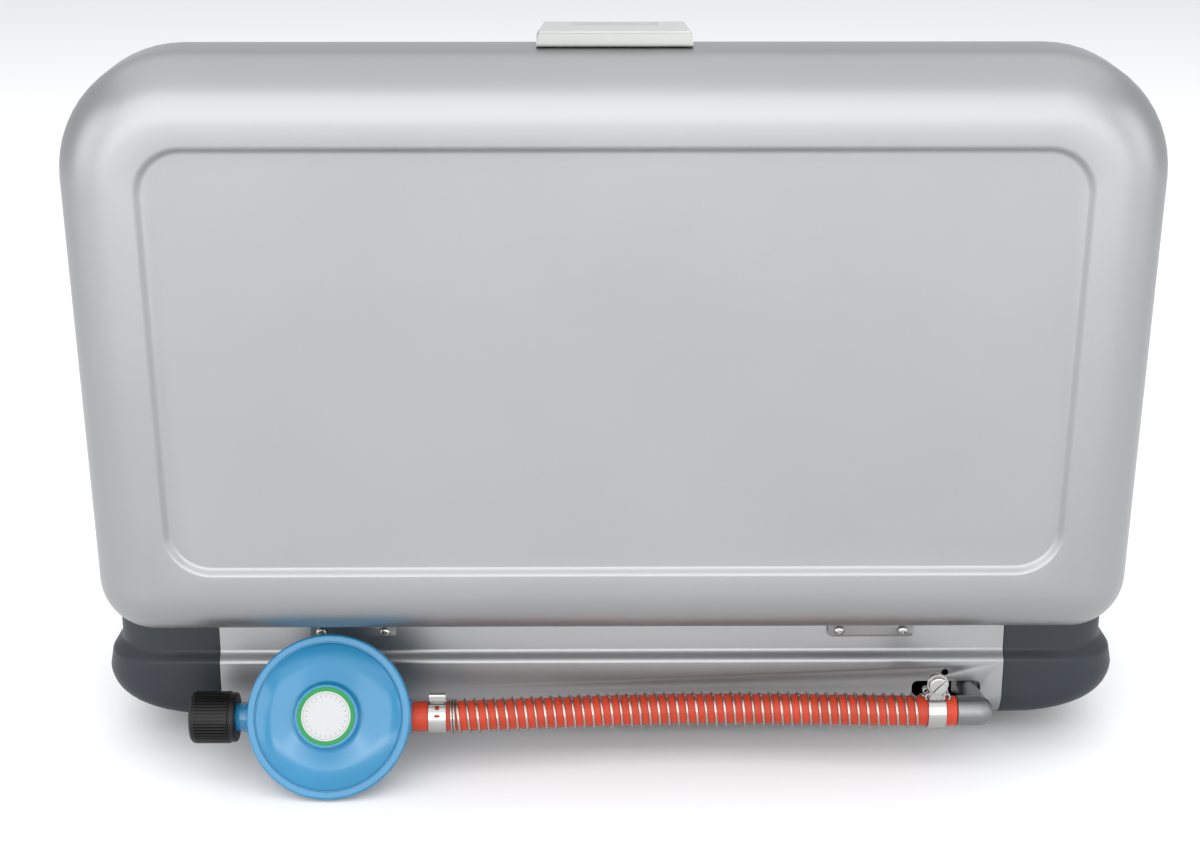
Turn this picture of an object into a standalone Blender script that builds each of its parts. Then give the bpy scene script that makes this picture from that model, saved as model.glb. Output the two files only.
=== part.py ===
"""Two-burner folding camping stove: a pressed lid hinged on a sheet base with moulded end housings,
wire pan supports over two burners, and a short gas hose with its regulator behind the back panel.

Metres, +Z up. The controls face -Y and the lid hinges at the back, +Y. The lid is drawn open.
"""
import math

import bmesh
import bpy
from mathutils import Matrix, Vector

# ---- driving sizes -------------------------------------------------------------------------
lid_width = 0.506
lid_depth = 0.285
lid_height = 0.048
lid_open_angle = math.radians(94)
lid_edge_radius = 0.0285
lid_back_corner = 0.028
lid_front_corner = 0.057
lid_gap = 0.001
recess_margin = 0.0375
recess_slope = 0.0045
recess_depth = 0.0025
recess_corner = 0.023

base_height = 0.063
foot_height = 0.014
foot_radius = 0.010
sheet = 0.001
plastic_wall = 0.0025
touch_gap = 0.0003

rim_margin = 0.0047
housing_reach = 0.0557
side_bulge = 0.0065
side_belly_width = 0.040
side_belly_height = 0.025
housing_back_corner = 0.028
housing_front_corner = 0.050
shoulder_out = 0.004
shoulder_top = 0.040
shoulder_drop = 0.0065
bottom_radius = 0.016
ledge_side = 0.012
ledge_back = 0.0125
ledge_front = 0.028

fascia_out = 0.0038
fascia_lift = 0.019
tray_floor = 0.046
tray_rim = 0.062
well_radius = 0.072
well_depth = 0.008

burner_radius = 0.028
burner_neck_radius = 0.013
flame_slots = 12
mixer_radius = 0.008
mixer_level = 0.026
knob_level = 0.038
knob_radius = 0.017
knob_depth = 0.0165
stem_radius = 0.0028
rail_level = 0.013
pipe_radius = 0.004

wire_radius = 0.0024
support_margin = 0.010
support_level = 0.060
support_bars = 6

hinge_offset = 0.133
hinge_leaf_width = 0.044
hinge_leaf_height = 0.0165
hinge_leaf_thickness = 0.0012
knuckle_radius = 0.0032
hinge_pin_radius = 0.0014
screw_spacing = 0.0328
screw_head_radius = 0.0028
screw_shank_radius = 0.0014

latch_width = 0.0706
latch_thickness = 0.0079
latch_reach = 0.0085
latch_top = 0.0185
latch_pin_out = 0.0046
latch_pin_radius = 0.0010

hose_radius = 0.0075
spring_radius = 0.0091
clamp_width = 0.009
inlet_inset = 0.0177
elbow_radius = 0.0076
elbow_leg_radius = 0.0044
slot_height = 0.0105
slot_length = 0.0355

flange_radius = 0.0406
flange_plane = 0.012
flange_thickness = 0.0015
regulator_tilt = math.radians(26)
boss_radius = 0.0158
boss_height = 0.0235
stub_radius = 0.0075
stub_reach = 0.047
nut_radius = 0.0133
nut_length = 0.023
label_radius = 0.0142

# ---- places worked out from them -----------------------------------------------------------
base_bottom = foot_height
base_top = foot_height + base_height
lid_half = lid_width / 2
base_half = lid_half + rim_margin
panel_half = base_half - housing_reach
front_wall = -lid_depth
fascia_face = front_wall - fascia_out
lid_rim = base_top + lid_gap
lid_top = lid_rim + lid_height

hinge_y = knuckle_radius + touch_gap
leaf_seat = touch_gap + 0.0003
hinge_z = base_top + lid_gap / 2
inner_half = base_half - ledge_side
inner_back = -ledge_back
inner_front = front_wall + ledge_front
burner_x = (inner_half - touch_gap) / 2
burner_y = (inner_back + inner_front) / 2

# The hose's route from the inlet elbow to the regulator. X counts from the elbow's end.
hose_route = [
    (0.0000, 0.0300, 0.0325), (0.0120, 0.0300, 0.0325), (0.0240, 0.0298, 0.0325),
    (0.0400, 0.0291, 0.0324), (0.0600, 0.0279, 0.0323), (0.0800, 0.0266, 0.0321),
    (0.1000, 0.0256, 0.0319), (0.1200, 0.0251, 0.0318), (0.1400, 0.0251, 0.0317),
    (0.1600, 0.0257, 0.0316), (0.1800, 0.0268, 0.0316), (0.2000, 0.0284, 0.0316),
    (0.2200, 0.0302, 0.0317), (0.2380, 0.0318, 0.0318), (0.2520, 0.0328, 0.0319),
    (0.2630, 0.0333, 0.0319), (0.2733, 0.0334, 0.0319)]
inlet_x = -(panel_half - inlet_inset)
hose_start_x = inlet_x + 0.0115
inlet_y = hose_route[0][1]
inlet_z = hose_route[0][2]
regulator_x = hose_start_x + hose_route[-1][0] + 0.0407
regulator_y = hose_route[-1][1]
flange_back = flange_plane - flange_thickness
regulator_z = flange_radius * math.cos(regulator_tilt) - flange_back * math.sin(regulator_tilt)


def fresh_scene():
    for old in list(bpy.data.objects):
        bpy.data.objects.remove(old, do_unlink=True)
    made = []
    for name in ("camping_stove", "cutters"):
        group = bpy.data.collections.new(name)
        bpy.context.scene.collection.children.link(group)
        made.append(group)
    return made


parts, cutters = fresh_scene()


def finish(name, colour, metallic, roughness):
    material = bpy.data.materials.new(name)
    material.use_nodes = True
    shader = material.node_tree.nodes["Principled BSDF"]
    shader.inputs["Base Color"].default_value = (*colour, 1)
    shader.inputs["Metallic"].default_value = metallic
    shader.inputs["Roughness"].default_value = roughness
    return material


satin_steel = finish("satin_steel", (0.60, 0.61, 0.62), 1.0, 0.38)
slate_plastic = finish("slate_plastic", (0.065, 0.076, 0.085), 0.0, 0.5)
grey_plastic = finish("grey_plastic", (0.67, 0.69, 0.65), 0.0, 0.45)
bright_steel = finish("bright_steel", (0.68, 0.67, 0.65), 1.0, 0.25)
zinc_casting = finish("zinc_casting", (0.42, 0.42, 0.42), 0.9, 0.45)
orange_rubber = finish("orange_rubber", (0.75, 0.08, 0.03), 0.0, 0.5)
black_rubber = finish("black_rubber", (0.02, 0.02, 0.02), 0.0, 0.7)
black_plastic = finish("black_plastic", (0.018, 0.017, 0.016), 0.0, 0.4)
blue_enamel = finish("blue_enamel", (0.06, 0.35, 0.68), 0.0, 0.2)
white_label = finish("white_label", (0.85, 0.86, 0.86), 0.0, 0.35)
brass = finish("brass", (0.80, 0.58, 0.25), 1.0, 0.3)
cast_burner = finish("cast_burner", (0.35, 0.35, 0.36), 0.9, 0.5)
ceramic = finish("ceramic", (0.86, 0.84, 0.78), 0.0, 0.3)


def empty(name, place, parent=None, turn=(0, 0, 0)):
    item = bpy.data.objects.new(name, None)
    parts.objects.link(item)
    item.location = place
    item.rotation_euler = turn
    item.parent = parent
    return item


def place(name, data, material, parent, spot=(0, 0, 0), turn=(0, 0, 0)):
    item = bpy.data.objects.new(name, data)
    item.location = spot
    item.rotation_euler = turn
    item.parent = parent
    if material:
        data.materials.append(material)
        parts.objects.link(item)
    else:
        cutters.objects.link(item)
        item.hide_render = True
        item.display_type = "WIRE"
    return item


def to_mesh(name, shape):
    mesh = bpy.data.meshes.new(name)
    shape.to_mesh(mesh)
    shape.free()
    mesh.shade_smooth()
    mesh.set_sharp_from_angle(angle=math.radians(35))
    return mesh


def block(name, low, high, material, parent, spot=(0, 0, 0), bevel=0.0):
    """A box between two corners, measured from the spot."""
    low, high = Vector(low), Vector(high)
    shape = bmesh.new()
    bmesh.ops.create_cube(shape, size=1)
    bmesh.ops.scale(shape, vec=high - low, verts=shape.verts)
    bmesh.ops.translate(shape, vec=(low + high) / 2, verts=shape.verts)
    item = place(name, to_mesh(name, shape), material, parent, spot)
    if bevel:
        round_off(item, bevel)
    return item


def rod(name, radius, start, end, material, parent, spot=(0, 0, 0), segments=24, end_radius=None):
    """A round bar or a cone between two points, measured from the spot."""
    start, end = Vector(start), Vector(end)
    aim = (end - start).to_track_quat("Z", "Y").to_matrix().to_4x4()
    shape = bmesh.new()
    bmesh.ops.create_cone(
        shape, cap_ends=True, segments=segments, radius1=radius,
        radius2=radius if end_radius is None else end_radius, depth=(end - start).length,
        matrix=Matrix.Translation((start + end) / 2) @ aim)
    return place(name, to_mesh(name, shape), material, parent, spot)


def turned(name, profile, material, parent, spot=(0, 0, 0), turn=(0, 0, 0), steps=32, closed=False):
    """A profile of (radius, height) points spun about its own Z axis."""
    shape = bmesh.new()
    dots = [shape.verts.new((radius, 0, height)) for radius, height in profile]
    for first, second in zip(dots, dots[1:]):
        shape.edges.new((first, second))
    if closed:
        shape.edges.new((dots[-1], dots[0]))
    item = place(name, to_mesh(name, shape), material, parent, spot, turn)
    spin = item.modifiers.new("spin", "SCREW")
    spin.axis = "Z"
    spin.steps = steps
    spin.render_steps = steps
    spin.use_merge_vertices = True
    spin.merge_threshold = 0.00001
    return item


def tube(name, points, radius, material, parent, spot=(0, 0, 0), resolution=2, cyclic=False):
    """A round wire or pipe along a list of points."""
    curve = bpy.data.curves.new(name, "CURVE")
    curve.dimensions = "3D"
    curve.bevel_depth = radius
    curve.bevel_resolution = resolution
    curve.use_fill_caps = not cyclic
    spline = curve.splines.new("POLY")
    spline.points.add(len(points) - 1)
    for dot, point in zip(spline.points, points):
        dot.co = (*point, 1)
    spline.use_cyclic_u = cyclic
    return place(name, curve, material, parent, spot)


def solid_from_curve(item):
    """Turns a curve object into a mesh object with its caps welded on."""
    name, parent, material = item.name, item.parent, item.data.materials
    material = material[0] if material else None
    spot, turn = item.location.copy(), item.rotation_euler.copy()
    bpy.context.view_layer.update()
    seen = item.evaluated_get(bpy.context.evaluated_depsgraph_get())
    mesh = bpy.data.meshes.new_from_object(seen)
    shape = bmesh.new()
    shape.from_mesh(mesh)
    bmesh.ops.remove_doubles(shape, verts=shape.verts, dist=0.00001)
    bpy.data.objects.remove(item, do_unlink=True)
    bpy.data.meshes.remove(mesh)
    solid = to_mesh(name, shape)
    solid.materials.clear()
    return place(name, solid, material, parent, spot, turn)


def round_off(item, width, segments=2, angle=math.radians(40)):
    bevel = item.modifiers.new("round_off", "BEVEL")
    bevel.width = width
    bevel.segments = segments
    bevel.limit_method = "ANGLE"
    bevel.angle_limit = angle


def thicken(item, wall):
    shell = item.modifiers.new("wall", "SOLIDIFY")
    shell.thickness = wall
    shell.offset = -1
    shell.use_even_offset = True


def combine(item, other, operation):
    step = item.modifiers.new(operation.lower(), "BOOLEAN")
    step.operation = operation
    step.solver = "EXACT"
    step.object = other


def cut(item, *others):
    for other in others:
        combine(item, other, "DIFFERENCE")


def weld(item, *others):
    for other in others:
        combine(item, other, "UNION")


def ring(half_width, back, front, back_radius, front_radius, height, steps=4):
    """A rounded rectangle in plan, as points that run round it once."""
    corners = [
        (half_width - back_radius, back - back_radius, back_radius, 0),
        (back_radius - half_width, back - back_radius, back_radius, 90),
        (front_radius - half_width, front + front_radius, front_radius, 180),
        (half_width - front_radius, front + front_radius, front_radius, 270)]
    points = []
    for x, y, radius, first in corners:
        for step in range(steps + 1):
            angle = math.radians(first + 90 * step / steps)
            points.append((x + radius * math.cos(angle), y + radius * math.sin(angle), height))
    return points


def loft(shape, rings, cap_last=True):
    """Quads from ring to ring, with a flat face over the last one."""
    rows = [[shape.verts.new(point) for point in points] for points in rings]
    for lower, upper in zip(rows, rows[1:]):
        for index in range(len(lower)):
            after = (index + 1) % len(lower)
            shape.faces.new((lower[index], lower[after], upper[after], upper[index]))
    if cap_last:
        shape.faces.new(rows[-1])


def swept(name, profile, half_length, material, parent):
    """An open (y, z) profile drawn out along X."""
    shape = bmesh.new()
    dots = [shape.verts.new((-half_length, y, z)) for y, z in profile]
    edges = [shape.edges.new(pair) for pair in zip(dots, dots[1:])]
    drawn = bmesh.ops.extrude_edge_only(shape, edges=edges)
    moved = [part for part in drawn["geom"] if isinstance(part, bmesh.types.BMVert)]
    bmesh.ops.translate(shape, vec=(2 * half_length, 0, 0), verts=moved)
    return place(name, to_mesh(name, shape), material, parent)


def arc(centre, radius, first, last, steps):
    """Points on a round stretch of a profile, between two angles in degrees."""
    angles = [math.radians(first + (last - first) * step / steps) for step in range(steps + 1)]
    return [(centre[0] + radius * math.cos(a), centre[1] + radius * math.sin(a)) for a in angles]


def shoulder_points(wall):
    """The back wall's step, as (y, z) points from the upper wall out to the lower one."""
    points = []
    for step in range(5):
        turn = math.pi * step / 4
        points.append((wall + shoulder_out * (1 - math.cos(turn)) / 2,
                       base_bottom + shoulder_top - shoulder_drop * step / 4))
    return points


def base_shell(parent):
    """The sheet that wraps the back, the bottom and the front of the base."""
    low_y = shoulder_out
    low = base_bottom + bottom_radius
    profile = [(-ledge_back, base_top)]
    profile += arc((-0.002, base_top - 0.002), 0.002, 90, 0, 3)
    profile += shoulder_points(0.0)
    profile += arc((low_y - bottom_radius, low), bottom_radius, 0, -90, 7)
    profile += arc((front_wall + bottom_radius, low), bottom_radius, -90, -180, 7)
    profile += [(front_wall, base_top - plastic_wall - touch_gap * 2)]
    shell = swept("base_shell", profile, panel_half, satin_steel, parent)
    thicken(shell, sheet)
    slot_top = inlet_z + 0.0045
    slot = block("inlet_slot_cutter", (-slot_length, -0.02, -slot_height), (0, 0.02, 0), None, parent,
                 (inlet_x - elbow_leg_radius - 0.002 + slot_length, 0, slot_top), bevel=0.003)
    vent = rod("vent_cutter", 0.0018, (0, -0.02, 0), (0, 0.02, 0), None, parent,
               (inlet_x + 0.0123, 0, base_bottom + 0.0278), segments=16)
    cut(shell, slot, vent)
    for x in (-burner_x, burner_x):
        hole = rod("stem_hole_cutter", stem_radius + 0.0015, (0, -0.01, 0), (0, 0.01, 0), None, parent,
                   (x, front_wall, base_bottom + knob_level), segments=20)
        cut(shell, hole)
    cut(shell, rod("button_hole_cutter", 0.0078, (0, -0.01, 0), (0, 0.01, 0), None, parent,
                   (0, front_wall, base_bottom + knob_level), segments=24))
    for x, z in hinge_screw_places():
        hole = rod("screw_hole_cutter", screw_shank_radius + touch_gap, (0, -0.01, 0), (0, 0.01, 0),
                   None, parent, (x, 0, z), segments=12)
        cut(shell, hole)
    return shell


def hinge_screw_places():
    level = hinge_z - hinge_leaf_height + 0.0035
    return [(side * hinge_offset + end * screw_spacing / 2, level)
            for side in (-1, 1) for end in (-1, 1)]


def side_housing(name, side, parent):
    """A moulded end of the base: straight above, swelling below the shoulder, round underneath."""
    inboard = panel_half + touch_gap

    def corner(half, radius):
        return min(radius, half - inboard - 0.003)

    def level(half, out, height):
        rings.append(ring(half, out, front_wall - out, corner(half, housing_back_corner),
                          corner(half, housing_front_corner), height))

    rings = [ring(inner_half, inner_back, inner_front, 0.016, 0.016, base_top)]
    level(base_half - 0.0015, -0.0015, base_top)
    level(base_half, 0, base_top - 0.0015)
    for out, height in shoulder_points(0.0):
        level(base_half + side_bulge * out / shoulder_out * 0.75, out, height)
    belly_centre = base_half + side_bulge - side_belly_width
    for step in range(6):
        angle = math.pi / 2 * step / 5
        height = base_bottom + side_belly_height * (1 - math.sin(angle))
        below = max(0.0, (base_bottom + bottom_radius - height) / bottom_radius)
        tuck = bottom_radius * (1 - math.sqrt(max(0.0, 1 - below * below)))
        level(belly_centre + side_belly_width * math.cos(angle), shoulder_out - tuck, height)
    shape = bmesh.new()
    loft(shape, rings)
    everything = shape.verts[:] + shape.edges[:] + shape.faces[:]
    bmesh.ops.bisect_plane(shape, geom=everything, plane_co=(inboard * side, 0, 0),
                           plane_no=(side, 0, 0), clear_inner=True)
    bmesh.ops.recalc_face_normals(shape, faces=shape.faces)
    face = max(shape.faces, key=lambda each: side * each.calc_center_median().x)
    if face.normal.x * side < 0:
        bmesh.ops.reverse_faces(shape, faces=shape.faces)
    housing = place(name, to_mesh(name, shape), slate_plastic, parent)
    thicken(housing, plastic_wall)
    return housing


def front_panel(parent):
    """The moulded fascia over the front wall, with the ledge that covers the valves."""
    radius = 0.004
    profile = [(fascia_face, base_bottom + fascia_lift)]
    profile += arc((fascia_face + radius, base_top - radius), radius, 180, 90, 4)
    profile += [(inner_front, base_top)]
    panel = swept("front_panel", profile, panel_half - touch_gap, slate_plastic, parent)
    thicken(panel, plastic_wall)
    for x in (-burner_x, burner_x):
        cut(panel, rod("fascia_stem_cutter", stem_radius + 0.0015, (0, -0.02, 0), (0, 0.02, 0), None,
                       parent, (x, front_wall, base_bottom + knob_level), segments=20))
    cut(panel, rod("fascia_button_cutter", 0.0078, (0, -0.02, 0), (0, 0.02, 0), None, parent,
                   (0, front_wall, base_bottom + knob_level), segments=24))
    return panel


def drip_tray(parent):
    """The pressed hob plate: a shallow pan with a round well under each burner."""
    floor = base_bottom + tray_floor
    rim = base_bottom + tray_rim
    half = inner_half - touch_gap
    back = inner_back - touch_gap
    front = inner_front + touch_gap
    pan = bmesh.new()
    loft(pan, [ring(half, back, front, 0.0157, 0.0157, rim, 4),
               ring(half, back, front, 0.0157, 0.0157, floor, 4)])
    for face in pan.faces:
        face.normal_flip()
    tray = place("drip_tray", to_mesh("drip_tray", pan), bright_steel, parent)
    thicken(tray, sheet)
    for x in (-burner_x, burner_x):
        bowl = rod("well_form", well_radius + sheet, (0, 0, floor - well_depth), (0, 0, floor + sheet / 2),
                   None, parent, (x, burner_y, 0), segments=32)
        weld(tray, bowl)
        inside = rod("well_cutter", well_radius, (0, 0, floor - well_depth + sheet), (0, 0, rim), None,
                     parent, (x, burner_y, 0), segments=32)
        neck = rod("neck_cutter", burner_neck_radius + 0.001, (0, 0, 0), (0, 0, rim), None, parent,
                   (x, burner_y, 0), segments=20)
        spark = rod("spark_hole_cutter", 0.0028, (0, 0, 0), (0, 0, rim), None, parent,
                    (x - math.copysign(spark_offset, x), burner_y, 0), segments=10)
        cut(tray, inside, neck, spark)
    return tray


spark_offset = burner_radius + 0.008


def burner(side_name, x, parent):
    """A burner: its mixing tube and head in one casting, and the slotted cap on top."""
    level = base_bottom + mixer_level
    well = base_bottom + tray_floor - well_depth + sheet
    head_low = well + touch_gap
    head_top = head_low + 0.007
    mouth = front_wall + 0.042 - burner_y
    body = rod("burner_body_" + side_name, burner_radius - 0.002, (0, 0, head_low), (0, 0, head_top),
               cast_burner, parent, (x, burner_y, 0), segments=24)
    neck = rod("burner_neck_form", burner_neck_radius, (0, 0, level - mixer_radius), (0, 0, head_top - 0.003),
               None, parent, (x, burner_y, 0), segments=20)
    mixer = rod("mixer_form", mixer_radius, (0, mouth, level), (0, 0, level), None, parent,
                (x, burner_y, 0), segments=16)
    weld(body, neck, mixer)
    chamber = rod("chamber_cutter", burner_radius - 0.006, (0, 0, head_top - 0.004), (0, 0, head_top + 0.01),
                  None, parent, (x, burner_y, 0), segments=24)
    riser = rod("riser_cutter", burner_neck_radius - 0.004, (0, 0, level), (0, 0, head_top), None, parent,
                (x, burner_y, 0), segments=16)
    bore = rod("mixer_bore_cutter", mixer_radius - 0.0018, (0, mouth - 0.01, level), (0, 0, level), None,
               parent, (x, burner_y, 0), segments=14)
    cut(body, chamber, riser, bore)
    low = head_top + touch_gap
    cap = turned("burner_cap_" + side_name,
                 [(0, low + 0.0058), (0.010, low + 0.0058), (0.020, low + 0.0050),
                  (burner_radius - 0.001, low + 0.0030), (burner_radius, low + 0.0020),
                  (burner_radius, low), (0.012, low), (0, low)],
                 cast_burner, parent, (x, burner_y, 0), steps=24)
    slots = bmesh.new()
    for index in range(flame_slots):
        turn = Matrix.Rotation(2 * math.pi * index / flame_slots, 4, "Z")
        box = bmesh.ops.create_cube(slots, size=1)["verts"]
        bmesh.ops.scale(slots, vec=(0.010, 0.002, 0.003), verts=box)
        bmesh.ops.translate(slots, vec=(burner_radius, 0, low), verts=box)
        bmesh.ops.transform(slots, matrix=turn, verts=box)
    cut(cap, place("flame_slot_cutter", to_mesh("flame_slots", slots), None, parent, (x, burner_y, 0)))
    return body, cap


def gas_valve(side_name, x, parent):
    """A brass tap on the rail, the jet it feeds and the stem that the knob turns."""
    low = base_bottom + rail_level + pipe_radius + touch_gap
    top = base_bottom + knob_level + 0.0045
    back = front_wall + 0.0235
    valve = block("gas_valve_" + side_name, (-0.008, front_wall + 0.0075, low), (0.008, back, top),
                  brass, parent, (x, 0, 0), bevel=0.001)
    level = base_bottom + knob_level
    socket = rod("stem_socket_cutter", stem_radius + touch_gap, (0, front_wall, level),
                 (0, front_wall + 0.0175, level), None, parent, (x, 0, 0), segments=20)
    outlet = base_bottom + mixer_level
    seat = rod("jet_socket_cutter", 0.0026, (0, back - 0.006, outlet), (0, back + 0.01, outlet), None,
               parent, (x, 0, 0), segments=16)
    cut(valve, socket, seat)
    jet_profile = [(0, 0.0120), (0.0010, 0.0120), (0.0034, 0.0085), (0.0034, 0.0003), (0.0023, 0.0003),
                   (0.0023, -0.0055), (0, -0.0055)]
    turned("burner_jet_" + side_name, jet_profile, brass, parent, (x, back, outlet),
           (-math.pi / 2, 0, 0), steps=12)
    pivot = empty("knob_axis_" + side_name, (x, fascia_face, level), parent)
    stem_back = front_wall + 0.0170 - fascia_face
    rod("valve_stem_" + side_name, stem_radius, (0, stem_back, 0), (0, -0.0100, 0), brass, pivot,
        segments=20)
    knob = turned("knob_" + side_name,
                  [(0, knob_depth), (0.0125, knob_depth), (0.0140, knob_depth - 0.0012),
                   (0.0150, 0.0060), (knob_radius, 0.0042), (knob_radius, 0.0006), (0, 0.0006)],
                  slate_plastic, pivot, (0, 0, 0), (math.pi / 2, 0, 0), steps=24)
    grip = block("knob_grip_form", (-0.0035, -knob_depth - 0.002, -0.0145),
                 (0.0035, -0.004, 0.0145), None, pivot, bevel=0.001)
    weld(knob, grip)
    cut(knob, rod("knob_bore_cutter", stem_radius + touch_gap, (0, 0.01, 0), (0, -0.0110, 0), None, pivot,
                  segments=20))
    return pivot


def igniter(parent):
    """The push igniter: a barrel behind the fascia, its button, two leads and two electrodes."""
    level = base_bottom + knob_level
    front = front_wall + sheet + touch_gap
    barrel_back = front + 0.024
    barrel = rod("igniter_body", 0.0095, (0, front, level), (0, barrel_back, level), black_plastic,
                 parent)
    cut(barrel, rod("barrel_cutter", 0.0078, (0, front - 0.01, level), (0, front + 0.0065, level), None,
                    parent))
    button = rod("igniter_button", 0.0070, (0, -0.0065, 0), (0, fascia_out + 0.0015 + sheet, 0),
                 black_plastic, parent, (0, fascia_face, level))
    round_off(button, 0.0008)
    for side_name, x in (("left", burner_x), ("right", -burner_x)):
        spark_x = x - math.copysign(spark_offset, x)
        bottom = base_bottom + 0.030
        post = rod("spark_electrode_" + side_name, 0.0022, (0, 0, bottom), (0, 0, base_bottom + 0.049),
                   ceramic, parent, (spark_x, burner_y, 0), segments=16)
        tip = rod("spark_tip_form", 0.0008, (0, 0, base_bottom + 0.047), (0, 0, base_bottom + 0.053),
                  None, parent, (spark_x, burner_y, 0), segments=8)
        weld(post, tip)
        side = math.copysign(1, x)
        low = base_bottom + 0.022
        route = [(side * 0.005, barrel_back + touch_gap, level), (side * 0.005, barrel_back + 0.004, level),
                 (side * 0.006, barrel_back + 0.010, level - 0.004),
                 (side * 0.015, barrel_back + 0.022, low + 0.004), (spark_x * 0.6, burner_y - 0.035, low),
                 (spark_x * 0.92, burner_y - 0.010, low), (spark_x, burner_y, low + 0.003),
                 (spark_x, burner_y, bottom - touch_gap)]
        tube("ignition_lead_" + side_name, route, 0.0012, black_rubber, parent)
    return button


def rubber_feet(parent):
    half = base_half + side_bulge - side_belly_width - foot_radius - 0.001
    for front_name, y in (("back", -0.048), ("front", front_wall + 0.048)):
        for side_name, x in (("left", half), ("right", -half)):
            turned("rubber_foot_%s_%s" % (front_name, side_name),
                   [(0, foot_height - touch_gap), (foot_radius, foot_height - touch_gap),
                    (foot_radius - 0.001, 0.001), (foot_radius - 0.002, 0), (0, 0)],
                   black_rubber, parent, (x, y, 0), steps=20)


def pan_support(name, x, parent):
    """A chromed wire grid: a rounded frame on four short legs, with bars across it."""
    floor = base_bottom + tray_floor
    level = base_bottom + support_level
    half_x = burner_x - support_margin - wire_radius
    half_y = (inner_back - inner_front) / 2 - support_margin - wire_radius
    pivot = empty(name + "_lift", (x, burner_y, level), parent)
    outline = ring(half_x, half_y, -half_y, 0.012, 0.012, 0, 3)
    frame = solid_from_curve(tube(name, outline, wire_radius, bright_steel, pivot, cyclic=True))
    for index in range(support_bars):
        across = -half_x + 2 * half_x * (index + 0.5) / support_bars
        bar = rod("support_bar_form", wire_radius, (across, -half_y - 0.001, wire_radius * 1.6),
                  (across, half_y + 0.001, wire_radius * 1.6), None, pivot, segments=8)
        weld(frame, bar)
    for side in (-1, 1):
        for end in (-1, 1):
            leg = rod("support_leg_form", wire_radius, (side * half_x, end * half_y / 2, 0),
                      (side * half_x, end * half_y / 2, floor + sheet - level + touch_gap), None, pivot,
                      segments=8)
            weld(frame, leg)
    return pivot


def lid_shell(pivot):
    """The pressed lid, drawn closed about the hinge's axis, with its sunk panel on top."""
    corner = {"back": lid_back_corner, "front": lid_front_corner}
    rings = []

    def add(inset, height, back_radius=None, front_radius=None):
        back_radius = max(corner["back"] - inset, 0.001) if back_radius is None else back_radius
        front_radius = max(corner["front"] - inset, 0.001) if front_radius is None else front_radius
        rings.append(ring(lid_half - inset, -inset, front_wall + inset, back_radius, front_radius,
                          height, 6))

    add(0, lid_rim)
    straight = lid_height - lid_edge_radius
    for step in range(6):
        angle = math.pi / 2 * step / 5
        add(lid_edge_radius * (1 - math.cos(angle)), lid_rim + straight + lid_edge_radius * math.sin(angle))
    add(recess_margin, lid_top, recess_corner, recess_corner)
    add(recess_margin + recess_slope, lid_top - recess_depth, recess_corner - recess_slope,
        recess_corner - recess_slope)
    shape = bmesh.new()
    loft(shape, rings)
    bmesh.ops.translate(shape, vec=(0, -hinge_y, -hinge_z), verts=shape.verts)
    bmesh.ops.recalc_face_normals(shape, faces=shape.faces)
    top = max(shape.faces, key=lambda face: face.calc_area())
    if top.normal.z < 0:
        bmesh.ops.reverse_faces(shape, faces=shape.faces)
    lid = place("lid_shell", to_mesh("lid_shell", shape), satin_steel, pivot)
    thicken(lid, sheet)
    return lid


def hinge(side_name, x, parent, pivot):
    """A butt hinge: one leaf on the base, one on the lid, and the pin through their knuckles."""
    half = hinge_leaf_width / 2
    third = hinge_leaf_width / 3
    inner = leaf_seat - hinge_y
    outer = inner + hinge_leaf_thickness
    bore = hinge_pin_radius + touch_gap
    for leaf_name, owner, spot, down in (("hinge_base_leaf_", parent, (x, hinge_y, hinge_z), -1),
                                         ("hinge_lid_leaf_", pivot, (x, 0, 0), 1)):
        far = down * hinge_leaf_height
        leaf = block(leaf_name + side_name, (-half, inner, min(0, far)), (half, outer, max(0, far)),
                     bright_steel, owner, spot)
        over = 0.0002
        if down < 0:
            barrels = [(-half - over, -third / 2), (third / 2, half + over)]
            gaps = [(-third / 2 - touch_gap, third / 2 + touch_gap)]
        else:
            barrels = [(-third / 2, third / 2)]
            gaps = [(-half - 0.001, touch_gap - third / 2), (third / 2 - touch_gap, half + 0.001)]
        for first, last in barrels:
            weld(leaf, rod("knuckle_form", knuckle_radius, (first, 0, 0), (last, 0, 0), None, owner, spot,
                           segments=20))
        reach = knuckle_radius + 2 * touch_gap
        for first, last in gaps:
            cut(leaf, block("knuckle_gap_cutter", (first, -reach, -reach), (last, reach, reach), None,
                            owner, spot))
        cut(leaf, rod("pin_bore_cutter", bore, (-half - 0.001, 0, 0), (half + 0.001, 0, 0), None, owner,
                      spot, segments=16))
        if down < 0:
            for end in (-1, 1):
                hole_z = -hinge_leaf_height + 0.0035
                cut(leaf, rod("leaf_hole_cutter", screw_shank_radius + touch_gap,
                              (end * screw_spacing / 2, -0.01, hole_z),
                              (end * screw_spacing / 2, 0.01, hole_z), None, owner, spot, segments=12))
    rod("hinge_pin_" + side_name, hinge_pin_radius, (-half - 0.0005, 0, 0), (half + 0.0005, 0, 0),
        bright_steel, parent, (x, hinge_y, hinge_z), segments=16)


def hinge_screws(parent):
    seat = leaf_seat + hinge_leaf_thickness + touch_gap
    for index, (x, z) in enumerate(hinge_screw_places()):
        profile = [(0, 0.0017), (0.0012, 0.0016), (0.0022, 0.0011), (screw_head_radius, 0.0002),
                   (screw_head_radius, 0), (screw_shank_radius, 0), (screw_shank_radius, -0.0055),
                   (0, -0.0060)]
        turned("hinge_screw_%d" % (index + 1), profile, bright_steel, parent, (x, seat, z),
               (-math.pi / 2, 0, 0), steps=12)


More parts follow.
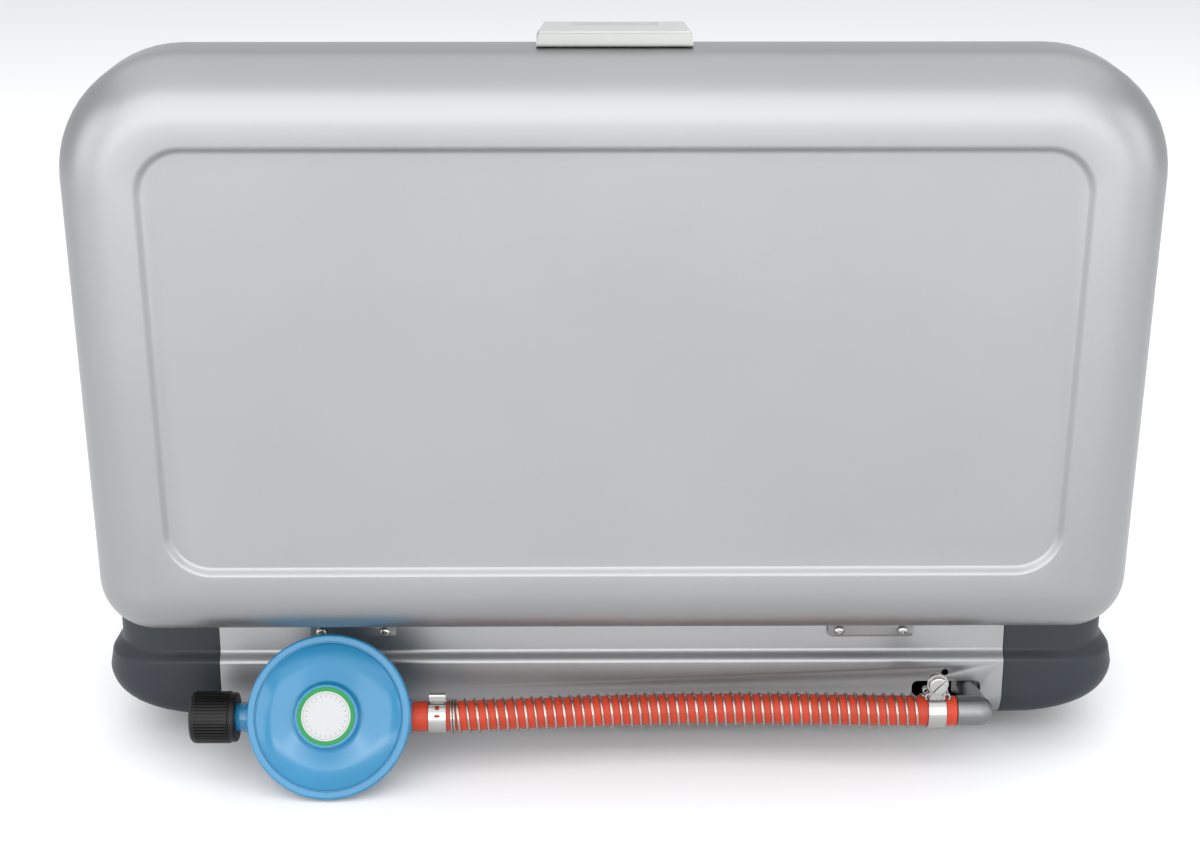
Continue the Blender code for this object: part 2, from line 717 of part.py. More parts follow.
def latch(pivot):
    """The lid's catch: a bracket on the front wall, the pin in it and the lever that hooks the base."""
    wall = front_wall - hinge_y
    rim = lid_rim - hinge_z
    pin_y = wall - latch_pin_out
    pin_z = rim + latch_top - 0.0035
    half = latch_width / 2
    lug_radius = latch_pin_radius + 0.0008
    bracket = block("latch_bracket", (-0.030, wall - 0.0020, rim + 0.0035),
                    (0.030, wall - touch_gap, rim + latch_top - 0.0010), bright_steel, pivot)
    for side in (-1, 1):
        first, last = side * 0.026 - 0.002, side * 0.026 + 0.002
        weld(bracket, block("lug_form", (first, pin_y, pin_z - lug_radius * 0.98),
                            (last, wall - 0.001, pin_z + lug_radius * 0.98), None, pivot))
        weld(bracket, rod("lug_nose_form", lug_radius, (first - 0.0001, pin_y, pin_z),
                          (last + 0.0001, pin_y, pin_z), None, pivot, segments=20))
    cut(bracket, rod("lug_bore_cutter", latch_pin_radius + touch_gap, (-0.04, pin_y, pin_z),
                     (0.04, pin_y, pin_z), None, pivot, segments=16))
    rod("latch_pin", latch_pin_radius, (-half + 0.0016, pin_y, pin_z), (half - 0.0016, pin_y, pin_z),
        bright_steel, pivot, segments=16)
    hub = empty("latch_axis", (0, pin_y, pin_z), pivot)
    low = rim - latch_reach - pin_z
    high = rim + latch_top - pin_z
    inner = latch_pin_out - 0.0006
    outer = latch_pin_out - latch_thickness
    lever = block("latch", (-half, outer, low), (half, inner, high), grey_plastic, hub)
    for vert in lever.data.vertices:
        if vert.co.y < 0:
            vert.co.x *= (half - 0.0012) / half
    round_off(lever, 0.0006, 1)
    past = inner + 0.01
    room_y = -(lug_radius + 0.0002)
    fascia_y = latch_pin_out - fascia_out - 0.0005
    room = block("bracket_room_cutter", (-half + 0.003, room_y, rim + 0.0025 - pin_z),
                 (half - 0.003, past, high - 0.0008), None, hub)
    face = block("fascia_room_cutter", (-half - 0.01, fascia_y, low - 0.01),
                 (half + 0.01, past, rim + 0.0002 - pin_z), None, hub)
    heel = block("heel_cutter", (-half - 0.01, 0.0002, 0.0019), (half + 0.01, past, high + 0.01), None, hub)
    hook = block("hook_cutter", (-0.022, fascia_y - 0.0017, low + 0.0015),
                 (0.022, past, low + 0.0050), None, hub)
    bore = rod("lever_bore_cutter", latch_pin_radius + touch_gap, (-half + 0.0013, 0, 0),
               (half - 0.0013, 0, 0), None, hub, segments=16)
    cut(lever, room, face, heel, hook, bore)
    return hub


def latch_catch(parent):
    """The small ridge on the fascia that the latch hooks under."""
    top = lid_rim - latch_reach + 0.0044
    block("latch_catch", (-0.020, fascia_face - 0.0014, top - 0.0024),
          (0.020, fascia_face - touch_gap, top), slate_plastic, parent)


def gas_pipes(parent):
    """The cast inlet elbow, the union nut inside the wall and the pipe that feeds both taps."""
    spot = (inlet_x, 0, inlet_z)
    end = hose_start_x - touch_gap - inlet_x
    elbow = rod("inlet_elbow", elbow_radius, (end, inlet_y, 0), (0, inlet_y, 0), zinc_casting, parent,
                spot)
    ball = bmesh.new()
    bmesh.ops.create_uvsphere(ball, u_segments=22, v_segments=13, radius=elbow_radius * 0.995)
    bmesh.ops.translate(ball, vec=(0, inlet_y, 0), verts=ball.verts)
    weld(elbow, place("elbow_corner_form", to_mesh("elbow_corner", ball), None, parent, spot))
    weld(elbow, rod("elbow_taper_form", elbow_leg_radius + 0.0002, (0, 0.006, 0),
                    (0, inlet_y - 0.001, 0), None, parent, spot, end_radius=elbow_radius * 0.93,
                    segments=22))
    weld(elbow, rod("elbow_leg_form", elbow_leg_radius, (0, -0.010, 0), (0, 0.012, 0), None, parent, spot,
                    segments=20))
    union = rod("inlet_nut", 0.0085, (0, -0.0190, 0), (0, -0.0020, 0), brass, parent, spot, segments=6)
    cut(union, rod("nut_bore_cutter", elbow_leg_radius + touch_gap, (0, -0.03, 0), (0, 0.01, 0), None,
                   parent, spot, segments=20))
    rail_y = front_wall + 0.0155
    rail_z = base_bottom + rail_level
    bend = 0.012
    route = [(inlet_x, -0.010 - touch_gap, inlet_z), (inlet_x, -0.040, inlet_z),
             (inlet_x, -0.060, (inlet_z + rail_z) / 2), (inlet_x, -0.080, rail_z)]
    for step in range(5):
        angle = math.pi / 2 * step / 4
        route.append((inlet_x + bend * (1 - math.cos(angle)), rail_y + bend * (1 - math.sin(angle)), rail_z))
    route.append((burner_x + 0.010, rail_y, rail_z))
    tube("gas_manifold", route, pipe_radius, bright_steel, parent)


def hose_points():
    return [Vector((hose_start_x + x, y, z)) for x, y, z in hose_route]


def along_hose(x):
    """The hose's axis where it is x along the back panel."""
    points = hose_points()
    for first, second in zip(points, points[1:]):
        if first.x <= x <= second.x:
            return first.lerp(second, (x - first.x) / (second.x - first.x))
    return points[-1]


def hose_set(parent):
    """The gas hose, the guard spring round it and its two clamps."""
    points = hose_points()
    tube("hose", points, hose_radius, orange_rubber, parent, resolution=3)
    bolt_x = hose_start_x + 0.0100
    ear_x = hose_start_x + hose_route[-1][0] - 0.0125
    first = bolt_x + clamp_width / 2 + 0.0015
    last = ear_x - clamp_width / 2 - 0.0010
    middle = [point for point in points if first + 0.003 < point.x < last - 0.003]
    route = [along_hose(first)] + middle + [along_hose(last)]
    sleeve = tube("hose_spring", route, hose_radius + 2 * touch_gap, bright_steel, parent, resolution=3)
    sleeve.data.use_fill_caps = False
    sleeve = solid_from_curve(sleeve)
    thicken(sleeve, spring_radius - hose_radius - 2 * touch_gap)
    sleeve.modifiers["wall"].offset = 1
    inner = hose_radius + 2 * touch_gap
    half = clamp_width / 2
    for name, x, wall in (("clamp_band", bolt_x, 0.0008), ("ear_clamp", ear_x, 0.0007)):
        centre = along_hose(x)
        band = turned(name, [(inner, half), (inner + wall, half), (inner + wall, -half), (inner, -half)],
                      bright_steel, parent, centre, (0, math.pi / 2, 0), steps=24, closed=True)
        if name == "ear_clamp":
            ear = block("ear_form", (-half, -0.0022, inner + 0.0003), (half, 0.0022, inner + 0.0048), None,
                        parent, centre)
            weld(band, ear)
            continue
        reach = 0.0160
        lug = block("clamp_lug_form", (-half, -0.0045, inner + 0.0003), (half, 0.0035, inner + 0.0110),
                    None, parent, centre, bevel=0.001)
        weld(band, lug)
        cut(band, rod("clamp_bore_cutter", 0.0023, (0, -0.02, reach), (0, 0.02, reach), None, parent,
                      centre, segments=16))
        turned("clamp_screw", [(0, 0.0030), (0.0036, 0.0030), (0.0048, 0.0022), (0.0048, 0),
                               (0.0020, 0), (0.0020, -0.0110), (0, -0.0110)],
               bright_steel, parent, centre + Vector((0, 0.0035 + touch_gap, reach)),
               (-math.pi / 2, 0, 0), steps=20)


def regulator(parent):
    """The gas regulator: two pressed halves on a diaphragm, and the nut for the cylinder."""
    frame = empty("regulator_frame", (regulator_x, regulator_y, regulator_z), parent,
                  (regulator_tilt - math.pi / 2, 0, 0))
    seat = flange_plane - touch_gap
    rim = flange_radius
    body = turned("regulator_body",
                  [(0.0340, seat), (rim, seat), (rim, flange_back), (0.0360, flange_back),
                   (0.0320, 0.0070), (0.0230, 0.0010), (0.0180, -0.0060), (0.0150, -0.0110),
                   (0, -0.0110), (0, 0.0040), (0.0210, 0.0045), (0.0300, 0.0085)],
                  blue_enamel, frame, steps=28, closed=True)
    outlet = -(regulator_x - hose_start_x - hose_route[-1][0]) + touch_gap
    through = rod("outlet_form", hose_radius + 0.001, (outlet, 0, 0), (-0.010, 0, 0), None, frame,
                  segments=24)
    stub = rod("stub_form", stub_radius, (0.010, 0, 0), (stub_reach + 0.010, 0, 0), None, frame,
               segments=24)
    weld(body, through, stub)
    cut(body, rod("inlet_bore_cutter", 0.0025, (0.004, 0, 0.001), (stub_reach + 0.02, 0, 0.001), None,
                  frame, segments=12))
    cut(body, rod("chamber_bore_cutter", 0.0020, (0.008, 0, 0.001), (0.008, 0, 0.010), None, frame,
                  segments=12))
    base = flange_plane + 0.0005 + touch_gap
    top = boss_height
    wall = 0.0014
    turned("regulator_cover",
           [(0, top), (boss_radius - 0.0015, top), (boss_radius, top - 0.0010),
            (boss_radius + 0.0012, top - 0.0040), (0.0368, base + 0.0020), (rim, base + 0.0010), (rim, base),
            (0.0345, base), (0.0340, base + 0.0008), (boss_radius, top - 0.0055),
            (boss_radius - 0.0014, top - wall), (0, top - wall)],
           blue_enamel, frame, steps=28)
    turned("regulator_diaphragm",
           [(0, flange_plane + 0.0005), (0.0385, flange_plane + 0.0005), (0.0385, flange_plane),
            (0, flange_plane)],
           black_rubber, frame, steps=28)
    low = flange_plane + 0.0005 + touch_gap + 0.0006
    high = top - wall - touch_gap - 0.0006
    turns = 3
    coil = []
    for step in range(turns * 8 + 1):
        angle = 2 * math.pi * step / 8
        coil.append((0.0075 * math.cos(angle), 0.0075 * math.sin(angle),
                     low + (high - low) * step / (turns * 8)))
    tube("regulator_spring", coil, 0.0006, bright_steel, frame)
    turned("regulator_label", [(0, top + touch_gap + 0.0004), (label_radius, top + touch_gap + 0.0004),
                               (label_radius, top + touch_gap), (0, top + touch_gap)],
           white_label, frame, steps=28)
    bore = stub_radius + touch_gap
    half = nut_length / 2
    nut_axis = empty("nut_axis", (stub_reach + touch_gap + half, 0, 0), frame)
    turned("hand_nut",
           [(bore, half), (nut_radius - 0.002, half), (nut_radius, half - 0.002),
            (nut_radius, -half + 0.002), (nut_radius - 0.0014, -half), (bore, -half)],
           black_plastic, nut_axis, turn=(0, math.pi / 2, 0), steps=32, closed=True)


def build():
    front = fascia_face - knob_depth - 0.002
    edge_y = lid_edge_radius - lid_depth - hinge_y
    edge_z = lid_top - lid_edge_radius - hinge_z
    back = (hinge_y + edge_y * math.cos(lid_open_angle) + edge_z * math.sin(lid_open_angle)
            + lid_edge_radius)
    stove = empty("stove", (0, -(front + back) / 2, 0))
    base_shell(stove)
    side_housing("side_housing_left", 1, stove)
    side_housing("side_housing_right", -1, stove)
    front_panel(stove)
    drip_tray(stove)
    rubber_feet(stove)
    for side_name, x in (("left", burner_x), ("right", -burner_x)):
        burner(side_name, x, stove)
        gas_valve(side_name, x, stove)
        pan_support("pan_support_" + side_name, x, stove)
    igniter(stove)
    gas_pipes(stove)
    lid_pivot = empty("lid_pivot", (0, hinge_y, hinge_z), stove, (-lid_open_angle, 0, 0))
    lid_shell(lid_pivot)
    for side_name, x in (("left", hinge_offset), ("right", -hinge_offset)):
        hinge(side_name, x, stove, lid_pivot)
    hinge_screws(stove)
    latch(lid_pivot)
    latch_catch(stove)
    hose_set(stove)
    regulator(stove)
    bpy.context.view_layer.update()


build()
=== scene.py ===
import bpy
import math
from mathutils import Matrix, Vector


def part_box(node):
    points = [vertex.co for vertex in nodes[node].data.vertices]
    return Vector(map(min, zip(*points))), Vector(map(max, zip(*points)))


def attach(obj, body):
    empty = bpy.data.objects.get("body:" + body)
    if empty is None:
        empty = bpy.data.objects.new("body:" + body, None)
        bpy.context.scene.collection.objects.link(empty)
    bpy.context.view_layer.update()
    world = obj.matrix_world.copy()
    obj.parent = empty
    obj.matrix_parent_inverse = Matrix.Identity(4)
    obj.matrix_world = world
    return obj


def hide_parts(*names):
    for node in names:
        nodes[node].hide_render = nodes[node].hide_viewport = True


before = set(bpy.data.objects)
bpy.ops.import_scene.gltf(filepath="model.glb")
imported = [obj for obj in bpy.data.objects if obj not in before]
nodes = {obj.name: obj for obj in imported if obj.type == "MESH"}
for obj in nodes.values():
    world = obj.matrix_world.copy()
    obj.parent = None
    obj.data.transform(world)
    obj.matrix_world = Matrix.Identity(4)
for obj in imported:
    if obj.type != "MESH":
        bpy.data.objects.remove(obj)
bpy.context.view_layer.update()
print("frame loaded")

# Camera, a little above the stove and behind it

shot = {"place": (0.0135, 1.0344, 0.4536), "turn": (73.03, 0.0, 179.55), "lens": 57.65}
bpy.ops.object.camera_add(location=shot["place"], rotation=[math.radians(a) for a in shot["turn"]])
camera = bpy.context.object
camera.name = "productCamera"
camera.data.lens = shot["lens"]
bpy.context.scene.camera = camera


# Modelling helpers

def letGo():  # nothing selected, in object mode
    if bpy.context.object and bpy.context.object.mode != "OBJECT":
        bpy.ops.object.mode_set(mode="OBJECT")
    bpy.ops.object.select_all(action="DESELECT")


def grab(piece):
    letGo()
    piece.select_set(True)
    bpy.context.view_layer.objects.active = piece
    return piece


def moved(x, y, z):
    return Matrix.Translation((x, y, z))


def spun(degrees, along):
    return Matrix.Rotation(math.radians(degrees), 4, along)


def settle(piece, placing=None):  # the place goes into the mesh
    grab(piece)
    if placing is not None:
        piece.matrix_world = placing @ piece.matrix_world
    bpy.ops.object.transform_apply(location=True, rotation=True, scale=True)
    return piece


def added(name):
    piece = bpy.context.object
    piece.name = name
    piece.data.name = name
    return settle(piece)


def blockOf(name, low, high):
    letGo()
    middle = [(a + b) / 2 for a, b in zip(low, high)]
    bpy.ops.mesh.primitive_cube_add(size=1, location=middle, scale=[b - a for a, b in zip(low, high)])
    return added(name)


def drumOf(name, radius, depth, sides=48, along="Z", middle=(0, 0, 0)):
    letGo()
    turn = {"X": (0, math.pi / 2, 0), "Y": (math.pi / 2, 0, 0), "Z": (0, 0, 0)}[along]
    bpy.ops.mesh.primitive_cylinder_add(vertices=sides, radius=radius, depth=depth, location=middle,
                                        rotation=turn)
    return added(name)


def pick(piece, test, kind="FACE"):  # into edit mode with what passes the test selected
    grab(piece)
    mesh = piece.data
    for group in (mesh.vertices, mesh.edges, mesh.polygons):
        group.foreach_set("select", [False] * len(group))
    if kind == "FACE":
        for face in mesh.polygons:
            face.select = bool(test(face.center, face.normal))
    elif kind == "EDGE":
        for edge in mesh.edges:
            first, second = (mesh.vertices[i].co for i in edge.vertices)
            edge.select = bool(test(first, second))
    else:
        for vert in mesh.vertices:
            vert.select = bool(test(vert.co, vert.normal))
    bpy.context.tool_settings.mesh_select_mode = (kind == "VERT", kind == "EDGE", kind == "FACE")
    bpy.ops.object.mode_set(mode="EDIT")


def everywhere(place, normal):
    return True


def done():
    bpy.ops.object.mode_set(mode="OBJECT")


def modify(piece, kind, **settings):  # add a modifier and apply it
    grab(piece)
    step = piece.modifiers.new(kind.lower(), kind)
    for key, value in settings.items():
        setattr(step, key, value)
    bpy.ops.object.modifier_apply(modifier=step.name)
    return piece


def soften(piece, width=0.0004, segments=2, angle=40):
    return modify(piece, "BEVEL", width=width, segments=segments, limit_method="ANGLE",
                  angle_limit=math.radians(angle), use_clamp_overlap=True)


def smooth(piece, angle=35):
    grab(piece)
    bpy.ops.object.shade_smooth_by_angle(angle=math.radians(angle))
    return piece


def tidy(piece, gap=0.000002):  # join doubles, faces outwards
    pick(piece, everywhere, "VERT")
    bpy.ops.mesh.remove_doubles(threshold=gap)
    bpy.ops.mesh.normals_make_consistent(inside=False)
    done()
    return piece


def carve(piece, cutter, operation="DIFFERENCE"):
    modify(piece, "BOOLEAN", operation=operation, solver="EXACT", object=cutter)
    bpy.data.objects.remove(cutter)
    return piece


def together(piece, *others):
    if not others:
        return piece
    letGo()
    for other in (*others, piece):
        other.select_set(True)
    bpy.context.view_layer.objects.active = piece
    bpy.ops.object.join()
    return piece


def copyOf(piece, name, placing=None):
    twin = bpy.data.objects.new(name, piece.data.copy())
    twin.data.name = name
    bpy.context.scene.collection.objects.link(twin)
    return settle(twin, placing)


def chain(name, dots):  # draw a line of points, one extrusion after another
    letGo()
    bpy.ops.mesh.primitive_plane_add(size=0.01, location=(0, 0, 0))
    piece = bpy.context.object
    piece.name = name
    piece.data.name = name
    bpy.context.tool_settings.mesh_select_mode = (True, False, False)
    bpy.ops.object.mode_set(mode="EDIT")
    bpy.ops.mesh.select_all(action="SELECT")
    bpy.ops.mesh.merge(type="CENTER")
    bpy.ops.transform.translate(value=dots[0])
    for here, after in zip(dots, dots[1:]):
        step = Vector(after) - Vector(here)
        bpy.ops.mesh.extrude_region_move(TRANSFORM_OT_translate={"value": step})
    done()
    return piece


def turned(name, profile, steps=96, placing=None):  # (radius, height) points spun about Z
    piece = chain(name, [(radius, 0, height) for radius, height in profile])
    pick(piece, everywhere, "VERT")
    bpy.ops.mesh.spin(steps=steps, angle=2 * math.pi, center=(0, 0, 0), axis=(0, 0, 1))
    done()
    return settle(tidy(piece, 0.00001), placing)


def drawn(piece, step):  # a line of points drawn out into a sheet
    pick(piece, everywhere, "VERT")
    bpy.ops.mesh.extrude_region_move(TRANSFORM_OT_translate={"value": step})
    done()
    return tidy(piece)


def roundCorners(piece, level, radius, segments):  # the edges along Y at this height
    pick(piece, lambda a, b: max(abs(a.z - level), abs(b.z - level), abs(a.x - b.x)) < 1e-5, "EDGE")
    bpy.ops.mesh.bevel(offset=radius, segments=segments, affect="EDGES")
    done()


def bow(middle, radius, first, last, steps=6):  # points round part of a circle, angles in degrees
    angles = [math.radians(first + (last - first) * step / steps) for step in range(steps + 1)]
    return [(middle[0] + radius * math.cos(a), middle[1] + radius * math.sin(a)) for a in angles]


def wireOf(name, dots, radius, fine=3, closed=False):  # a round wire through points, as a mesh
    line = bpy.data.curves.new(name, "CURVE")
    line.dimensions = "3D"
    line.bevel_depth = radius
    line.bevel_resolution = fine
    line.use_fill_caps = not closed
    strand = line.splines.new("POLY")
    strand.points.add(len(dots) - 1)
    for point, dot in zip(strand.points, dots):
        point.co = (*dot, 1)
    strand.use_cyclic_u = closed
    piece = bpy.data.objects.new(name, line)
    bpy.context.scene.collection.objects.link(piece)
    grab(piece)
    bpy.ops.object.convert(target="MESH")
    return tidy(bpy.context.object)


def flow(dots, steps=8):  # a smooth line through points
    dots = [Vector(dot) for dot in dots]
    ends = [2 * dots[0] - dots[1]] + dots + [2 * dots[-1] - dots[-2]]
    line = []
    for a, b, c, d in zip(ends, ends[1:], ends[2:], ends[3:]):
        for step in range(steps):
            t = step / steps
            line.append(0.5 * (2 * b + (c - a) * t + (2 * a - 5 * b + 4 * c - d) * t * t
                               + (3 * b - a - 3 * c + d) * t ** 3))
    return line + [dots[-1]]


def roundedSheet(name, low, high, level, radii, steps=12):  # flat, radii for the low and high Y corners
    letGo()
    middle = ((low[0] + high[0]) / 2, (low[1] + high[1]) / 2, level)
    bpy.ops.mesh.primitive_plane_add(size=1, location=middle)
    piece = bpy.context.object
    piece.scale = (high[0] - low[0], high[1] - low[1], 1)
    added(name)
    for radius, end in zip(radii, (low[1], high[1])):
        pick(piece, lambda place, normal: abs(place.y - end) < 0.00001, "VERT")
        bpy.ops.mesh.bevel(offset=radius, segments=steps, profile=0.5, affect="VERTICES")
        done()
    return piece


def refined(name, node, width, angle=35):  # a CAD node's shape, joined up and eased at its edges
    piece = bpy.data.objects.new(name, nodes[node].data.copy())
    bpy.context.scene.collection.objects.link(piece)
    pick(piece, everywhere, "VERT")
    bpy.ops.mesh.remove_doubles(threshold=0.000002)
    bpy.ops.mesh.dissolve_limited(angle_limit=math.radians(0.5))
    done()
    return smooth(soften(piece, width, 2, 45), angle)


def fit(piece, body, slot, material, *replaced):
    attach(piece, body)
    piece.data.materials.clear()
    piece.data.materials.append(material)
    if replaced:
        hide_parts(*replaced)
    return piece


# Materials

class Tone:  # one shader socket, so that sums read as sums
    def __init__(self, tree, socket=None):
        self.tree = tree
        self.socket = socket

    def add(self, kind, settings=None, sockets=None, output=0):
        node = self.tree.nodes.new("ShaderNode" + kind)
        for key, value in (settings or {}).items():
            if key == "stops":
                ramp = node.color_ramp.elements
                while len(ramp) < len(value):
                    ramp.new(1)
                for stop, (place, shade) in zip(ramp, value):
                    stop.position = place
                    stop.color = (shade, shade, shade, 1)
            else:
                setattr(node, key, value)
        for key, value in (sockets or {}).items():
            if isinstance(value, Tone):
                self.tree.links.new(value.socket, node.inputs[key])
            else:
                node.inputs[key].default_value = value
        return Tone(self.tree, node.outputs[output])

    def maths(self, operation, first, second=0.0):
        return self.add("Math", {"operation": operation}, {0: first, 1: second})

    def __add__(self, other):
        return self.maths("ADD", self, other)

    def __radd__(self, other):
        return self.maths("ADD", other, self)

    def __sub__(self, other):
        return self.maths("SUBTRACT", self, other)

    def __rsub__(self, other):
        return self.maths("SUBTRACT", other, self)

    def __mul__(self, other):
        return self.maths("MULTIPLY", self, other)

    def __rmul__(self, other):
        return self.maths("MULTIPLY", other, self)

    def noise(self, place, scale, detail=3.0, stretch=(1, 1, 1)):
        if stretch != (1, 1, 1):
            place = self.add("Mapping", None, {"Vector": place, "Scale": stretch})
        return self.add("TexNoise", None, {"Vector": place, "Scale": scale, "Detail": detail})

    def ramp(self, value, *stops):
        return self.add("ValToRGB", {"stops": stops}, {0: value})

    def mix(self, factor, first, second):
        return self.add("Mix", {"data_type": "RGBA"}, {0: factor, 6: first, 7: second}, 2)

    def bump(self, height, strength, distance):
        return self.add("Bump", None, {"Height": height, "Strength": strength, "Distance": distance})


def rgba(colour, factor):
    return (*[min(1.0, part * factor) for part in colour], 1)


def finish(name, settings, varying):
    material = bpy.data.materials.new(name)
    material.use_nodes = True
    tree = material.node_tree
    shader = tree.nodes["Principled BSDF"]
    for key, value in settings.items():
        shader.inputs[key].default_value = value
    start = Tone(tree)
    place = start.add("TexCoord", None, None, 3)
    for key, value in varying(start, place).items():
        tree.links.new(value.socket, shader.inputs[key])
    return material


def metalFinish(name, colour, roughness, grain=1400, stretch=(0.06, 1, 1), depth=0.00002, patch=0.05,
                strength=0.25):
    def varying(tone, place):
        streaks = tone.noise(place, grain, 3, stretch)
        specks = tone.noise(place, grain * 1.3, 2)
        clouds = tone.noise(place, 9, 2)
        shade = streaks * 0.25 + specks * 0.25 + clouds * 0.5
        spread = tone.ramp(shade, (0.35, 0), (0.65, 1))
        return {"Base Color": tone.mix(spread, rgba(colour, 1 - patch), rgba(colour, 1 + patch)),
                "Roughness": roughness + (clouds - 0.5) * 0.08 + (streaks - 0.5) * 0.06,
                "Normal": tone.bump(streaks * 0.6 + specks * 0.4, strength, depth)}
    return finish(name, {"Metallic": 1.0}, varying)


def plasticFinish(name, colour, roughness, grain=1500, depth=0.00004, strength=0.3, settings=None):
    def varying(tone, place):
        grains = tone.add("TexVoronoi", {"feature": "SMOOTH_F1"}, {"Vector": place, "Scale": grain,
                                                                  "Smoothness": 0.6})
        clouds = tone.noise(place, 14, 3)
        fine = tone.noise(place, grain * 2, 2)
        spread = tone.ramp(clouds * 0.7 + fine * 0.3, (0.35, 0), (0.65, 1))
        return {"Base Color": tone.mix(spread, rgba(colour, 0.92), rgba(colour, 1.08)),
                "Roughness": roughness + (clouds - 0.5) * 0.12 + (fine - 0.5) * 0.06,
                "Normal": tone.bump(grains + fine * 0.3, strength, depth)}
    return finish(name, settings or {}, varying)


def enamelFinish():
    colour = (0.010, 0.165, 0.32)

    def varying(tone, place):
        peel = tone.noise(place, 260, 2)
        clouds = tone.noise(place, 22, 3)
        dust = tone.noise(place, 2600, 2)
        pale = tone.ramp(clouds * 0.8 + dust * 0.2, (0.38, 0), (0.66, 1))
        return {"Base Color": tone.mix(pale, rgba(colour, 0.95), rgba(colour, 1.06)),
                "Roughness": 0.18 + (clouds - 0.5) * 0.12 + (dust - 0.5) * 0.05,
                "Normal": tone.bump(peel, 0.12, 0.00012)}
    return finish("blueEnamel", {"Coat Weight": 0.4, "Coat Roughness": 0.12}, varying)


def hoseFinish():
    colour = (0.43, 0.037, 0.013)

    def varying(tone, place):
        clouds = tone.noise(place, 60, 3)
        scuffs = tone.noise(place, 700, 3, (0.3, 1, 1))
        fine = tone.noise(place, 3000, 2)
        marks = tone.ramp(scuffs, (0.66, 0), (0.78, 1))
        base = tone.mix(tone.ramp(clouds, (0.35, 0), (0.65, 1)), rgba(colour, 0.9), rgba(colour, 1.1))
        return {"Base Color": tone.mix(marks * 0.35, base, (0.28, 0.035, 0.02, 1)),
                "Roughness": 0.42 + (clouds - 0.5) * 0.2 + marks * 0.1,
                "Normal": tone.bump(fine * 0.5 + scuffs * 0.5, 0.25, 0.00006)}
    return finish("orangeRubber", dull, varying)


def floorFinish():
    def varying(tone, place):
        clouds = tone.noise(place, 3, 2)
        return {"Base Color": tone.mix(clouds, (0.895, 0.895, 0.895, 1), (0.905, 0.905, 0.905, 1)),
                "Roughness": 0.80 + (clouds - 0.5) * 0.05}
    return finish("floorPaint", {"Specular IOR Level": 0.2}, varying)


dull = {"Specular IOR Level": 0.28}
satinSteel = metalFinish("satinSteel", (0.318, 0.319, 0.321), 0.40, 2200, (0.4, 1, 1), 0.000012, 0.03, 0.18)
trayEnamel = metalFinish("traySteel", (0.40, 0.405, 0.41), 0.28, 1500, (0.2, 1, 1), 0.000012, 0.04)
brightSteel = metalFinish("brightSteel", (0.45, 0.445, 0.43), 0.2, 2600, (1, 1, 1), 0.00001)
springSteel = metalFinish("springSteel", (0.37, 0.35, 0.31), 0.24, 2600, (1, 1, 1), 0.00002, 0.15)
castZinc = metalFinish("castZinc", (0.22, 0.222, 0.222), 0.42, 1100, (1, 1, 1), 0.00006, 0.10, 0.4)
castBurner = metalFinish("castBurner", (0.20, 0.20, 0.21), 0.5, 900, (1, 1, 1), 0.00012, 0.14, 0.6)
brassFinish = metalFinish("brassMachined", (0.70, 0.48, 0.20), 0.26, 1800, (1, 1, 0.1), 0.00002, 0.08)
slatePlastic = plasticFinish("slatePlastic", (0.020, 0.025, 0.031), 0.48, settings=dull)
latchPlastic = plasticFinish("latchPlastic", (0.41, 0.42, 0.40), 0.42, 2400, 0.00002, 0.15)
blackPlastic = plasticFinish("blackPlastic", (0.0030, 0.0029, 0.0028), 0.42, 2000, 0.00003, 0.25, dull)
blackRubber = plasticFinish("blackRubber", (0.010, 0.010, 0.010), 0.7, 1600, 0.00005, 0.4, dull)
redPlastic = plasticFinish("redPlastic", (0.38, 0.012, 0.010), 0.25, 2600, 0.00001, 0.1)
ceramicFinish = plasticFinish("ceramic", (0.74, 0.72, 0.66), 0.2, 1800, 0.00001, 0.1)
blueEnamel = enamelFinish()
orangeRubber = hoseFinish()
print("materials made")

# Hose, its guard spring and clamps

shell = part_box("base_shell")
stove = {"front": shell[0].y, "low": shell[0].z, "high": shell[1].z, "panelHalf": shell[1].x,
         "half": 0.2577, "bulge": 0.0065, "step": 0.004, "lip": 0.0125, "sheet": 0.001,
         "plastic": 0.0025, "trayHalf": 0.2457, "trayFront": -0.1384, "fit": 0.0003}
stove["wall"] = shell[1].y - stove["step"]  # above the pressed step

hose = {"radius": 0.0075, "startX": -0.1728, "bandGap": 0.0004, "wireRadius": 0.0006, "pitch": 0.0048,
        "perTurn": 20, "closePitch": 0.0014, "closeRun": 0.003675,  # the turns crowd near the regulator
        "route": [(0.0000, 0.0300, 0.0325), (0.0120, 0.0300, 0.0325), (0.0240, 0.0298, 0.0325),
                  (0.0400, 0.0291, 0.0324), (0.0600, 0.0279, 0.0323), (0.0800, 0.0266, 0.0321),
                  (0.1000, 0.0256, 0.0319), (0.1200, 0.0251, 0.0318), (0.1400, 0.0251, 0.0317),
                  (0.1600, 0.0257, 0.0316), (0.1800, 0.0268, 0.0316), (0.2000, 0.0284, 0.0316),
                  (0.2200, 0.0302, 0.0317), (0.2380, 0.0318, 0.0318), (0.2520, 0.0328, 0.0319),
                  (0.2630, 0.0333, 0.0319), (0.2733, 0.0334, 0.0319)]}
hoseLine = flow([(hose["startX"] + x, stove["wall"] + y, z) for x, y, z in hose["route"]], 6)


def onHose(x):  # the hose's middle at this x
    for here, after in zip(hoseLine, hoseLine[1:]):
        if here.x <= x <= after.x:
            return here.lerp(after, (x - here.x) / (after.x - here.x))
    return hoseLine[-1] if x > hoseLine[-1].x else hoseLine[0]


def gasHose():
    piece = wireOf("gasHose", hoseLine, hose["radius"], 10)
    return fit(smooth(piece, 50), "base", "orange_rubber", orangeRubber, "hose")


